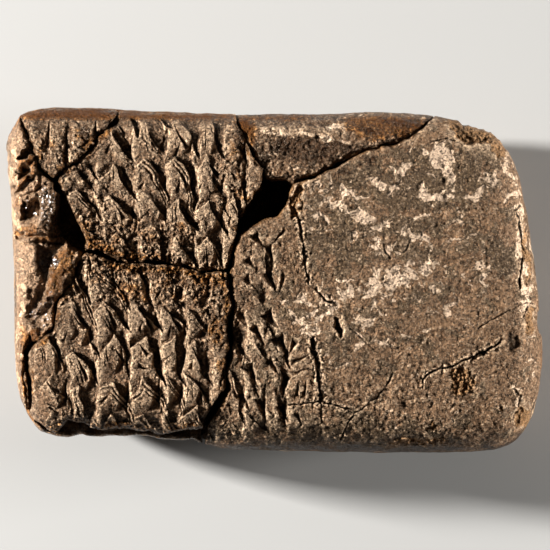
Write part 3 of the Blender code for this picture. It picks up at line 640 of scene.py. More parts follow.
STRIP_CRACKS = [
    ([(-37.1, -8.6), (-37.8, -12), (-38, -14.6), (-37.7, -18)], 0.55, 2.6),
    ([(-38.7, -8), (-39, -12), (-38.5, -17)], 0.3, 0.9),
    ([(-36.4, -9.4), (-37, -12.4)], 0.3, 1),
    ([(-39.2, 6.2), (-36, 6.9), (-32.6, 6.6)], 0.5, 1.2),
    ([(-38.6, 5.3), (-35.4, 5.9), (-31.8, 5.4)], 0.4, 1),
    ([(-39.6, 15.8), (-37.6, 17), (-36.2, 18.4)], 0.4, 1.3),
    ([(-38.2, 12.6), (-36.2, 13.4), (-35, 14.2)], 0.35, 1),
]

# Places where a joint has crumbled wider, by how many millimetres on each side.
CRUMBLED = [
    ((-25.6, 3.6), (2.4, 0.9), -15, 0.25, 0.7), ((-17.6, 2.7), (2, 0.8), -10, 0.15, 0.7),
    ((-6, 5), (1.2, 3.6), 12, 0.15, 0.7), ((-6.2, -8.2), (1, 3), 0, 0.15, 0.7),
    ((-37.4, -13.6), (1, 6), 0, 0.2, 0.7), ((-8.8, -20), (2, 3.4), -30, 0.45, 0.7),
    ((-37.9, 22.6), (0.9, 1.8), 20, 0.12, 0.7), ((-33, 14.6), (1.2, 1.4), 0, 0.25, 0.7),
    ((-24.4, 24), (1, 1), 0, 0.3, 0.7), ((-14, -23.8), (20, 1), 0, 0.5, 0.7),
]

# Where the written flakes are crusted, and where the top edge and the left strip are stained.
CRUSTED = [
    ((-31.5, 20), (4.5, 5), 0, 0.6, 0.5), ((-19.5, 6.2), (11, 3), 0, 1, 0.5),
    ((-19, -0.6), (10.5, 3.6), -6, 1, 0.5), ((-8.9, -3.6), (2.6, 5), 0, 1, 0.5),
    ((-9.6, -11), (2, 4), 0, 0.6, 0.5), ((-26.6, 12), (2.6, 5), 0, 0.6, 0.5),
    ((-6, 17), (2.6, 5), 0, 0.7, 0.5), ((-20, -23), (16, 1.4), 0, 0.9, 0.5),
]
STAINS = [
    ((-37.2, 18), (2, 0.8), 38, 1, 0.5), ((-37.4, 15.8), (2.3, 0.6), 44, 1, 0.5),
    ((-37.4, 7.4), (2.3, 1), 10, 1, 0.5), ((-33.6, 6.2), (2.6, 0.7), -5, 1, 0.5),
    ((-31.8, 3), (2.3, 2.5), 0, 1, 0.5), ((-33.2, -1), (1.3, 2.1), -20, 1, 0.5),
    ((-37.8, -13), (1.2, 7), 0, 0.9, 0.5), ((-36.6, -8.6), (1.6, 0.9), 30, 1, 0.5),
    ((-36.4, -21.2), (2.4, 1.5), -40, 0.9, 0.5), ((-38.6, 10.4), (0.9, 2), 0, 0.6, 0.5),
    ((18, 23.4), (8, 2.2), -5, 1.2, 0.6), ((-4.4, 23.2), (1.6, 3), 20, 1.5, 0.6),
    ((0.5, 17.4), (4, 2.6), 0, 0.35, 0.6), ((9, 20.5), (6, 2), 0, 0.3, 0.6),
]


def crumbly(wavelength, seed):
    """Torn clay: sharp crests and pits, from about -1 to 1."""
    folded = 1 - 2 * np.abs(face_noise(wavelength, 2, seed))
    return 0.6 * folded + face_noise(wavelength * 0.45, 4, seed + 1, 0.72)


def beside(distance, reach):
    """1 at a line, and falling away to nothing past this reach."""
    return np.exp(-((distance / reach) ** 2))


# What covers which part of the face.
EDGE = EDGE - blobs(BITES, 3.0) + 0.1 * face_noise(4.0, 4, 48, 0.6)
on_flakes = on("corner_flake") + on("upper_inscribed_flake") + on("lower_inscribed_flake")
on_main, top_edge, on_strip = on("main_fragment"), on("top_edge_fragment"), on("strip")
carved, WRITTEN, SMOOTHED = write_columns()
breaks = np.abs(np.stack([NEAR[name] for name in REGIONS if name != "foot"])).min(axis=0)
RIM = beside(np.minimum(breaks, EDGE + 1), 1.1)
CRUST = smooth_step(blobs(CRUSTED, 2.0) + 0.4 * face_noise(3.0, 3, 30), 0.3, 0.9)
cracks = grooves(MAIN_CRACKS)
beside_cracks = smooth_step(blurred(cracks, 0.55), 0.015, 0.12)
chips = blobs(MAIN_CHIPS, 3.0) * on_main
CHIPPED = smooth_step(chips, 0.12, 0.25)

# How worn each place is, and how much of the darker skin it has. Materials turn both into patches.
curl_x, curl_y = (1.2 * face_noise(2.4, 3, seed) for seed in (51, 52))
lace = fractal(GX + curl_x, 1.3 * (GY + curl_y), None, 2.1, 5, 40, 0.64)
WORN = (0.06 + blobs(WORN_PATCHES, 2.4) + 0.3 * beside_cracks + 0.8 * lace) * on_main * (1 - 0.8 * WRITTEN)
# Along the strip's outer rim the skin is worn paler, and brightened further as a painted highlight on this
# side that faces the key light.
WORN += (0.72 + 0.4 * lace) * on_strip * (1 - smooth_step(EDGE + WX, 1.6, 3.6))
streaks = fractal(0.45 * GX, 1.5 * GY, None, 2.2, 5, 47, 0.75)
WORN += (blobs(TOP_BARE, 2.0) + 0.8 * streaks) * top_edge
islands = fractal(GX + curl_x, GY + curl_y, None, 3.0, 5, 41, 0.62)
DARK_SKIN = (blobs(DARK_PATCHES, 2.0) + 0.8 * islands) * on_main

# Height of the face: writing, wear and torn edges.
dome = DOME_SWELL * DOME * (1 - (GX / HALF_LENGTH) ** 2) * (1 - (GY / HALF_WIDTH) ** 2)
GROUND = THICKNESS - DOME + dome + 0.18 * face_noise(12.0, 2, 3) + 0.08 * face_noise(3.6, 2, 4)
pits = np.clip(face_noise(1.1, 3, 36, 0.7) - 0.55, 0, 1)
granular = face_noise(0.8, 3, 32, 0.75)
FACE = GROUND - carved * (1 - 0.45 * CRUST) - 0.2 * pits
FACE += WRITTEN * 0.045 * (1 - 0.8 * SMOOTHED) * crumbly(1.1, 31)
FACE += (0.055 - 0.015 * on_main) * granular * (1 - 0.6 * SMOOTHED)
torn_edges = np.minimum(line_distance(GX, GY, LOWER_EDGE), line_distance(GX, GY, CROSS_CRACK))
ragged = beside(torn_edges, 1.4)
FACE += (0.14 * CRUST + (0.3 * RIM + 0.25 * ragged) * on_flakes) * crumbly(1.3, 34)
FACE += (0.2 * CRUST + 0.1 * WRITTEN * on_main) * crumbly(2.4, 57)

# The main fragment's hollows, cracks and chips, and the thin steps where its skin has flaked off.
FACE += on_main * (blobs(MAIN_SHAPES, 1.5) - cracks + 0.28 * beside_cracks * crumbly(0.9, 42))
FACE += 0.5 * CHIPPED * crumbly(1.3, 39) - chips
plates = face_noise(3.4, 5, 43, 0.66)
flakes = sum(smooth_step(plates, level - 0.02, level + 0.02) for level in (-0.3, 0.0, 0.3))
low_part = smooth_step(-GY, 4.0, 20.0)
plain = on_main * (1 - WRITTEN) * (1 - CHIPPED)
skin_steps = 0.05 * flakes - 0.08 * smooth_step(WORN, 0.76, 0.86) + 0.05 * smooth_step(DARK_SKIN, 0.45, 0.55)
FACE += plain * skin_steps
FACE += plain * (0.03 + 0.07 * low_part) * crumbly(1.5, 44)

# The top edge and the corner flake, then the left strip, which has a face of its own.
FACE += top_edge * (0.16 * crumbly(1.9, 37) + 0.2 * RIM * crumbly(1.0, 45) - 0.5 + blobs(TOP_SHAPES))
FACE += on("corner_flake") * (blobs(CORNER_SHAPES, 1.5) + 0.08 * crumbly(1.4, 46))
strip_shapes = np.maximum(blobs(STRIP_SHAPES, 2.6), DEEPEST_HOLLOW)
broken_part = smooth_step(EDGE, 1.6, 3.2) * (0.2 + 0.8 * smooth_step(GY + 3 * WY, 4.4, 6.0))
strip_rough = 0.08 + 0.2 * broken_part + 0.25 * RIM + blobs(RAGGED_STRIP)
STRIP_FACE = GROUND + strip_shapes - grooves(STRIP_CRACKS) + strip_rough * crumbly(1.3, 38)

# Stains, gloss and joints.
stained_rim = 1.6 * smooth_step(GY, 23.6, 25.2) * (1 - smooth_step(GX, 2.0, 8.0))
STAIN = np.clip(0.8 * RIM * (on_flakes + on_strip) + 0.6 * CRUST, 0, 1)
STAIN = np.maximum(STAIN, blobs(STAINS, 2.0) * (top_edge + on_strip))
STAIN = np.maximum(STAIN, stained_rim)
CRUMBLE = blobs(CRUMBLED, 2.0) + 0.03 * beside(line_distance(GX, GY, MAIN_JOINT), 1.5)
CRUMBLE += np.clip(0.16 * face_noise(2.6, 3, 58), -0.08, 0.3)
FACE_MAPS = {
    # cavity and crease lead to painted shade in hollows and a painted highlight on crests.
    "cavity": FACE - blurred(FACE, 0.9),
    "crease": FACE - blurred(FACE, 0.22),
    "worn": WORN,
    "dark_skin": DARK_SKIN,
    "stain": STAIN,
    "written": WRITTEN,
    "gloss": on_strip * np.clip(blobs(GLOSSY_PATCHES, 2.0), 0, 1),
    # The crust map also holds the sooty places and the painted shade along the top and bottom rims.
    "crust": np.maximum(0.42 * CRUST * on_flakes, blobs(SOOT_AND_RIM_SHADE, 2.0)),
    "chipped": CHIPPED,
    "smoothed": SMOOTHED,
}
BED = FLAKE_FLOOR + 0.8 * face_noise(9.0, 4, 50, 0.6)
LEDGE = FOOT_HEIGHT + 0.8 * face_noise(8.0, 4, 51, 0.6)

# ---------------- solid fields
HALF_GAP = 0.16  # what each side of a joint gives up
LAYER_COUNT = 9
LAYERS = np.linspace(0.0, HIGH[2] + 1.0, LAYER_COUNT)  # heights where distances are worked out
DEEP_WANDER = 0.9  # how far a fracture has wandered at the underside
WEAR_DEPTH, WEAR_REACH = 0.5, 0.4  # of the crumbled edges of the face
SNAP_REACH = 0.2  # points nearer than this to the exact face are moved onto it


def region_layers(name, x, y):
    """Signed distance to a region at each layer, with its edge wandering as it goes down."""
    layers = []
    for z in LAYERS:
        depth = np.full(x.shape, HIGH[2] - z)
        wx, wy = warp(x, y, depth * 0.35)
        deep = DEEP_WANDER * np.clip((HIGH[2] - z) / HIGH[2], 0, 1) ** 0.7
        wx = wx + deep * fractal(x, y, depth, 9.0, 2, 60)
        wy = wy + deep * fractal(x, y, depth, 9.0, 2, 61)
        layers.append(signed_distance(x + wx, y + wy, REGIONS[name]).astype(np.float32))
    return layers


def at_height(layers, z):
    """The distance at one height, from the layers above and below it."""
    place = np.clip((z - LAYERS[0]) / (LAYERS[1] - LAYERS[0]), 0, LAYER_COUNT - PAST_LAST)
    index = int(place)
    share = place - index
    return layers[index] * (1 - share) + layers[index + 1] * share


def blank(z, face, edge):
    """The unbroken tablet: negative inside, near its surface about a distance."""
    top = z >= MID_HEIGHT
    rise = np.where(top, face - MID_HEIGHT, MID_HEIGHT)
    inwards = np.maximum(1 - edge / np.where(top, TOP_SHOULDER, UNDER_SHOULDER), 0)
    upright = np.abs(z - MID_HEIGHT) / rise
    return rise * ((inwards ** EDGE_FULLNESS + upright ** EDGE_FULLNESS) ** (1 / EDGE_FULLNESS) - 1)


def worn_edge(face, inside):
    """The face with its broken edges crumbled a little."""
    return face - WEAR_DEPTH * beside(np.maximum(inside, 0), WEAR_REACH)


def field_of(name, xs, ys, zs):
    """The fragment's solid field on a grid: negative inside."""
    x, y = np.meshgrid(xs, ys, indexing="ij")
    edge, bed, ledge, crumble = (sample(grid, x, y) for grid in (EDGE, BED, LEDGE, CRUMBLE))
    gap = HALF_GAP + crumble
    own = region_layers(name, x, y)
    face = worn_edge(sample(FACE, x, y), -own[-1] - gap)
    foot = region_layers("foot", x, y) if name in ("main_fragment", "left_core_fragment") else None
    strip = region_layers("strip", x, y) if name == "left_core_fragment" else None
    if strip:
        strip_face = worn_edge(sample(STRIP_FACE, x, y), -strip[-1] - gap)
        face = np.where(strip[-1] < 0, strip_face, face)
    field = np.empty((len(xs), len(ys), len(zs)), np.float32)
    for k, z in enumerate(zs):
        region = at_height(own, z) + gap
        if name == "main_fragment":  # with the foot that runs on under the joint
            under = np.maximum(at_height(foot, z) + HALF_GAP, z - ledge + HALF_GAP)
            region = np.minimum(region, under)
        elif name == "left_core_fragment":  # up to the flakes' bed, with the strip, less the foot
            body = np.maximum(region, z - bed + HALF_GAP)
            region = np.minimum(body, at_height(strip, z) + gap)
            under = np.maximum(at_height(foot, z), z - ledge)
            region = np.maximum(region, HALF_GAP - under)
        elif name == "top_edge_fragment":  # on the foot's ledge
            region = np.maximum(region, ledge + HALF_GAP - z)
        else:  # a flake on its bed
            region = np.maximum(region, bed + HALF_GAP - z)
        field[:, :, k] = np.maximum(blank(z, face, edge), region)
    return field


def surface_net(field, origin, steps):
    """Points and quads of the field's zero surface, with one point in each cell that it passes.

    Each grid edge that crosses the surface gives a quad between the four cells around it, and a
    cell's point is the middle of the places where its edges cross.
    """
    shape = field.shape
    strides = np.array([shape[1] * shape[2], shape[2], 1])
    inside = field < 0
    owners, places, quads = [], [], []
    for axis in range(3):
        first = [slice(None)] * 3
        second = [slice(None)] * 3
        first[axis], second[axis] = slice(0, -1), slice(1, None)
        first, second = tuple(first), tuple(second)
        edges = np.argwhere(inside[first] != inside[second])
        start = field[first][tuple(edges.T)]
        end = field[second][tuple(edges.T)]
        place = edges.astype(np.float64)
        place[:, axis] += start / (start - end)
        one, two = (axis + 1) % 3, (axis + 2) % 3
        ring = []
        for back_one, back_two in ((1, 1), (0, 1), (0, 0), (1, 0)):
            cell = edges.copy()
            cell[:, one] -= back_one
            cell[:, two] -= back_two
            ring.append(cell @ strides)
        ring = np.stack(ring, axis=1)
        ring = np.where((start < 0)[:, None], ring, ring[:, ::-1])
        quads.append(ring)
        owners.append(ring.ravel())
        places.append(np.repeat(place, 4, axis=0))
    owners, places, quads = np.concatenate(owners), np.concatenate(places), np.concatenate(quads)
    cells, index = np.unique(owners, return_inverse=True)
    count = np.bincount(index)
    points = np.stack([np.bincount(index, places[:, axis]) / count for axis in range(3)], axis=1)
    quads = np.searchsorted(cells, quads)
    return points * np.array(steps) + np.array(origin), quads


def face_over(name, x, y):
    """Height of a fragment's own face."""
    return sample(STRIP_FACE if name == "left_core_fragment" else FACE, x, y)


def sharpened(name, points):
    """The points of the written face moved up or down onto it, where a grid has blunted its relief."""
    x, y, z = points.T
    edge = sample(EDGE, x, y)
    face = face_over(name, x, y)
    inwards = np.clip(1 - edge / TOP_SHOULDER, 0, 1)
    exact = MID_HEIGHT + (face - MID_HEIGHT) * (1 - inwards ** EDGE_FULLNESS) ** (1 / EDGE_FULLNESS)
    near = (np.abs(exact - z) < SNAP_REACH) & (edge > 1.0) & (z > MID_HEIGHT + 2)
    points[:, 2] = np.where(near, exact, z)
    return points


def largest_part(points, quads):
    """The mesh without loose crumbs. The lowest label spreads until each part has one of its own."""
    label = np.arange(len(points))
    while True:
        lowest = label[quads].min(axis=1)
        new = label.copy()
        for side in range(4):
            np.minimum.at(new, quads[:, side], lowest)
        new = new[new]
        if np.array_equal(new, label):
            break
        label = new
    names, sizes = np.unique(label, return_counts=True)
    kept = label == names[sizes.argmax()]
    renumber = np.cumsum(kept) - 1
    return points[kept], renumber[quads[kept[quads[:, 0]]]]


def mesh_from(name, points, faces):
    """A Blender mesh, in metres, from points in millimetres and faces of equal size."""
    mesh = bpy.data.meshes.new(name)
    corners = faces.shape[1]
    mesh.vertices.add(len(points))
    mesh.vertices.foreach_set("co", (points * MM).astype(np.float32).ravel())
    mesh.loops.add(faces.size)
    mesh.loops.foreach_set("vertex_index", faces.astype(np.int32).ravel())
    mesh.polygons.add(len(faces))
    mesh.polygons.foreach_set("loop_start", np.arange(0, faces.size, corners, dtype=np.int32))
    mesh.update(calc_edges=True)
    mesh.validate()
    return mesh


def vertex_arrays(mesh):
    """(points in millimetres, unit normals) of a mesh."""
    points = np.empty(len(mesh.vertices) * 3, np.float32)
    mesh.vertices.foreach_get("co", points)
    normals = np.empty(len(mesh.vertices) * 3, np.float32)
    mesh.vertex_normals.foreach_get("vector", normals)
    return points.reshape(-1, 3).astype(np.float64) / MM, normals.reshape(-1, 3).astype(np.float64)


def surface_kinds(name, points, normals):
    """(how much of each point is face, how much is broken clay, its depth under the face)."""
    x, y, z = points.T
    face = face_over(name, x, y)
    outside = 1 - smooth_step(-blank(z, face, sample(EDGE, x, y)), 0.25, 0.6)
    on_face = outside * smooth_step(z, MID_HEIGHT, MID_HEIGHT + 3) * smooth_step(normals[:, 2], -0.1, 0.2)
    return on_face, 1 - outside, face - z


def roughened(name, points, normals):
    """The points moved along their normals by grain that suits each surface, least at the foot."""
    x, y, z = points.T
    on_face, broken, _ = surface_kinds(name, points, normals)
    written = sample(WRITTEN, x, y) * on_face
    crust = sample(CRUST, x, y) * on_face
    grain = fractal(x, y, z, 0.9, 3, 70, 0.6)
    lumps = fractal(x, y, z, 2.4, 2, 71)
    pits = np.clip(fractal(x, y, z, 0.75, 2, 72) - 0.45, 0, None)
    size = 0.030 + 0.025 * written + 0.05 * crust + 0.07 * broken
    move = size * grain + (0.02 + 0.14 * broken) * lumps - (0.12 + 0.10 * crust) * pits
    above_foot = smooth_step(z, 0.0, 1.5)
    return points + normals * (move * (0.15 + 0.85 * above_foot))[:, None]


SHARP_ANGLE = math.radians(55)  # edges sharper than this aren't shaded smooth
TALL_STEP = 1.5  # grid steps are this much taller than wide
GRID_MARGIN = 1.0  # bare grid around a fragment
REVERSE_OFFSET = 0.013  # keeps the grid's levels off the flat reverse
BORDER = 0.01  # the grid's own border lies outside by this, so that every surface closes
LOW_DETAIL = 0.1  # how well decimation keeps the lower part of a fragment
PLAIN_DETAIL = 0.33  # and how well it keeps bare face, next to writing

# The grid step that each fragment is carved with, and the most triangles it may have.
BUDGETS = {
    "main_fragment": (0.14, 197000), "left_core_fragment": (0.20, 130000),
    "upper_inscribed_flake": (0.11, 185000), "lower_inscribed_flake": (0.11, 195000),
    "corner_flake": (0.12, 60000), "top_edge_fragment": (0.16, 80000),
}


def weigh_detail(obj, name):
    """A vertex group that holds back the places where less detail is needed."""
    points, normals = vertex_arrays(obj.data)
    on_face = surface_kinds(name, points, normals)[0]
    x, y, z = points.T
    value = 0.25 + 0.75 * on_face * np.maximum(sample(WRITTEN, x, y), PLAIN_DETAIL)
    value = np.round(np.where(z < MID_HEIGHT - 4, LOW_DETAIL, value), 1)
    group = obj.vertex_groups.new(name="keep")
    for level in np.unique(value):
        group.add(np.flatnonzero(value == level).tolist(), float(1 - level), "REPLACE")


def decimated(mesh, name, budget):
    """The mesh brought down to its budget of triangles, least where the face is written."""
    mesh.calc_loop_triangles()
    triangles = len(mesh.loop_triangles)
    obj = bpy.data.objects.new(name, mesh)
    bpy.context.scene.collection.objects.link(obj)
    if triangles <= budget:
        return obj
    weigh_detail(obj, name)
    modifier = obj.modifiers.new("Decimate", "DECIMATE")
    modifier.ratio = budget / triangles
    modifier.vertex_group = "keep"
    modifier.vertex_group_factor = 2.0
    modifier.use_collapse_triangulate = True
    graph = bpy.context.evaluated_depsgraph_get()
    lighter = bpy.data.meshes.new_from_object(obj.evaluated_get(graph))
    obj.modifiers.clear()
    obj.vertex_groups.clear()
    obj.data = lighter
    lighter.name = name
    bpy.data.meshes.remove(mesh)
    return obj


def carved_mesh(node, step):
    """A fragment's mesh on a grid of this step, before it is decimated."""
    low, high = (np.array(corner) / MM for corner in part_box(node))
    tall = step * TALL_STEP
    xs = np.arange(low[0] - GRID_MARGIN, high[0] + GRID_MARGIN, step)
    ys = np.arange(low[1] - GRID_MARGIN, high[1] + GRID_MARGIN, step)
    zs = np.arange(low[2] - GRID_MARGIN - REVERSE_OFFSET, high[2] + GRID_MARGIN, tall)
    field = field_of(node, xs, ys, zs)
    for axis in range(3):
        for side in (0, -1):
            border = [slice(None)] * 3
            border[axis] = side
            field[tuple(border)] = np.maximum(field[tuple(border)], BORDER)
    points, quads = surface_net(field, (xs[0], ys[0], zs[0]), (step, step, tall))
    points, quads = largest_part(points, quads)
    mesh = mesh_from(node, sharpened(node, points), quads)
    points = roughened(node, *vertex_arrays(mesh))
    points[:, 2] = np.maximum(points[:, 2], 0.0)
    mesh.vertices.foreach_set("co", (points * MM).astype(np.float32).ravel())
    mesh.update()
    return mesh


def set_attribute(mesh, name, values):
    """One number for each vertex, which a material can read."""
    attribute = mesh.attributes.new(name, "FLOAT", "POINT")
    attribute.data.foreach_set("value", np.ascontiguousarray(values, np.float32))


def set_surface(mesh, node):
    """Attributes for the materials: the maps on the face, and patches of their own on the sides."""
    points, normals = vertex_arrays(mesh)
    x, y, z = points.T
    on_face, broken, under_face = surface_kinds(node, points, normals)
    upright = smooth_step(normals[:, 2], 0.1, 0.45)
    top_side = smooth_step(y, 19.0, 23.0) * smooth_step(-x, -12.0, -2.0)
    side_patches = {
        "worn": 0.36 + 0.8 * fractal(x, y, z, 2.6, 5, 53, 0.7) + 0.5 * fractal(x, y, z, 11.0, 2, 54),
        "dark_skin": 0.3 + 0.8 * fractal(x, y, z, 5.0, 5, 55, 0.7),
        # Crust on the sides thickens towards -Y: painted shade on the lower side, which faces away from the
        # lights.
        "crust": 0.7 * fractal(x, y, z, 7.0, 5, 56, 0.7) + 0.8 * smooth_step(-y, 19.0, 24.0),
        "stain": 0.9 * fractal(x, y, z, 6.0, 4, 59, 0.7) + 1.1 * top_side,
    }
    for name, grid in FACE_MAPS.items():
        values = sample(grid, x, y) * on_face
        if name in side_patches:
            side = side_patches[name] * (1 - broken)
            values = side + (values - side) * on_face * upright
        set_attribute(mesh, name, values)
    set_attribute(mesh, "broken", broken)
    set_attribute(mesh, "depth", np.clip(under_face, 0, THICKNESS))


def fragment_piece(node):
    """The detailed mesh of a fragment, which replaces its CAD node."""
    step, budget = BUDGETS[node]
    piece = decimated(carved_mesh(node, step), node + "_clay", budget)
    piece.data.shade_smooth()
    piece.data.set_sharp_from_angle(angle=SHARP_ANGLE)
    set_surface(piece.data, node)
    return piece


# ---------------- materials
def linear(red, green, blue):
    """A colour given as it looks on screen, 0 to 255, as the shader wants it."""
    return tuple(((value / 255 + 0.055) / 1.055) ** 2.4 for value in (red, green, blue)) + (1.0,)


class Nodes:
    """Short ways to add the nodes of one material."""

    def __init__(self, name, base):
        self.colour = base
        self.material = bpy.data.materials.new(name)
        self.material.use_nodes = True
        self.tree = self.material.node_tree
        self.shader = self.tree.nodes["Principled BSDF"]
        self.coordinates = self.tree.nodes.new("ShaderNodeTexCoord")

    def add(self, kind, **settings):
        node = self.tree.nodes.new(kind)
        for key, value in settings.items():
            setattr(node, key, value)
        return node

    def plug(self, source, target):
        self.tree.links.new(source, target)

    def attribute(self, name):
        return self.add("ShaderNodeAttribute", attribute_name=name).outputs["Fac"]

    def noise(self, per_metre, detail, roughness):
        node = self.add("ShaderNodeTexNoise")
        self.plug(self.coordinates.outputs["Object"], node.inputs["Vector"])
        for name, number in (("Scale", per_metre), ("Detail", detail), ("Roughness", roughness)):
            node.inputs[name].default_value = number
        return node.outputs["Fac"]

    def math(self, operation, first, second=None):
        node = self.add("ShaderNodeMath", operation=operation)
        for socket, value in zip(node.inputs, (first, second)):
            if isinstance(value, (int, float)):
                socket.default_value = value
            elif value is not None:
                self.plug(value, socket)
        return node.outputs[0]

    def times(self, value, factor):
        return self.math("MULTIPLY", value, factor)

    def less(self, value):
        """What a share leaves of 1."""
        return self.math("SUBTRACT", 1.0, value)

    def swung(self, value, noise, gain):
        """A value with a noise's swing about its middle added to it."""
        return self.math("ADD", value, self.times(self.math("SUBTRACT", noise, 0.5), gain))

    def ramp(self, value, low, high, start=0.0, end=1.0):
        node = self.add("ShaderNodeMapRange", interpolation_type="SMOOTHSTEP")
        self.plug(value, node.inputs["Value"])
        for name, number in (("From Min", low), ("From Max", high), ("To Min", start), ("To Max", end)):
            node.inputs[name].default_value = number
        return node.outputs["Result"]

    def mix(self, share, first, second, blend="MIX"):
        """The first colour, with the second over this share of it."""
        node = self.add("ShaderNodeMix", data_type="RGBA", blend_type=blend)
        for socket, value in zip((node.inputs[0], node.inputs[6], node.inputs[7]), (share, first, second)):
            if isinstance(value, (tuple, float)):
                socket.default_value = value
            else:
                self.plug(value, socket)
        return node.outputs[2]

    def layer(self, share, colour, blend="MIX"):
        """Lays a colour over this share of the material's colour so far."""
        self.colour = self.mix(share, self.colour, colour, blend)

    def bumps(self, heights):
        """Bumps on top of each other: a height from 0 to 1, and how many metres that stands for."""
        normal = None
        for height, distance in heights:
            node = self.add("ShaderNodeBump")
            node.inputs["Strength"].default_value = 1.0
            node.inputs["Distance"].default_value = distance
            self.plug(height, node.inputs["Height"])
            if normal:
                self.plug(normal, node.inputs["Normal"])
            normal = node.outputs["Normal"]
        self.plug(normal, self.shader.inputs["Normal"])


GREY_BROWN = linear(138, 107, 80)
GREY_SKIN = linear(80, 65, 48)
BUFF = linear(228, 197, 167)
RIM_BUFF = linear(190, 154, 119)
WRITTEN_BROWN = linear(118, 90, 67)
# Pale clay of grains and of the rims of worn patches, also used as a painted highlight on crests.
PALE_AND_HIGHLIGHT = linear(214, 182, 148)
# Painted shade, laid into hollows, creases and pits.
PAINTED_SHADE = linear(30, 22, 16)
STAIN_TINT = linear(214, 174, 114)
GLEAM = linear(255, 216, 176)
DEEP_BROWN = linear(56, 36, 22)
TORN_BROWN = linear(132, 94, 56)
CHIP_BROWN = linear(164, 124, 84)
GLOSSY_BROWN = linear(62, 42, 28)
CORE_BROWN = linear(156, 124, 96)
RUSTY = linear(92, 54, 24)
LIGHTEN = (0.66, 0.67, 0.70, 1.0)  # pale grains divide the colour under them by this
DARKEN = (0.46, 0.42, 0.38, 1.0)  # and dark ones multiply it by this
PIT_DEPTH, SKIN_DEPTH = 0.0002, 0.00006
COAT_ROUGHNESS = 0.27

# The clay of each slot: its colour, its colour where bare, how gritty, stained, rough and shiny it is,
# and how deep its tooth is in metres.
CLAYS = {
    "grey_brown_clay": (GREY_BROWN, BUFF, 0.9, -0.3, 0.54, 0.2, 0.0002),
    "core_clay": (CORE_BROWN, RIM_BUFF, 0.8, 0.0, 0.42, 0.5, 0.00014),
    "written_clay": (WRITTEN_BROWN, BUFF, 1.0, -0.05, 0.46, 0.35, 0.00022),
    "stained_clay": (WRITTEN_BROWN, BUFF, 1.0, 0.0, 0.46, 0.3, 0.0003),
}


def torn_clay(n, mottle):
    """Broken clay, darker deep under the face."""
    torn = n.mix(n.ramp(mottle, 0.38, 0.62), TORN_BROWN, DEEP_BROWN)
    return n.mix(n.ramp(n.attribute("depth"), 1.0, 6.0, 0.0, 0.45), torn, DEEP_BROWN)


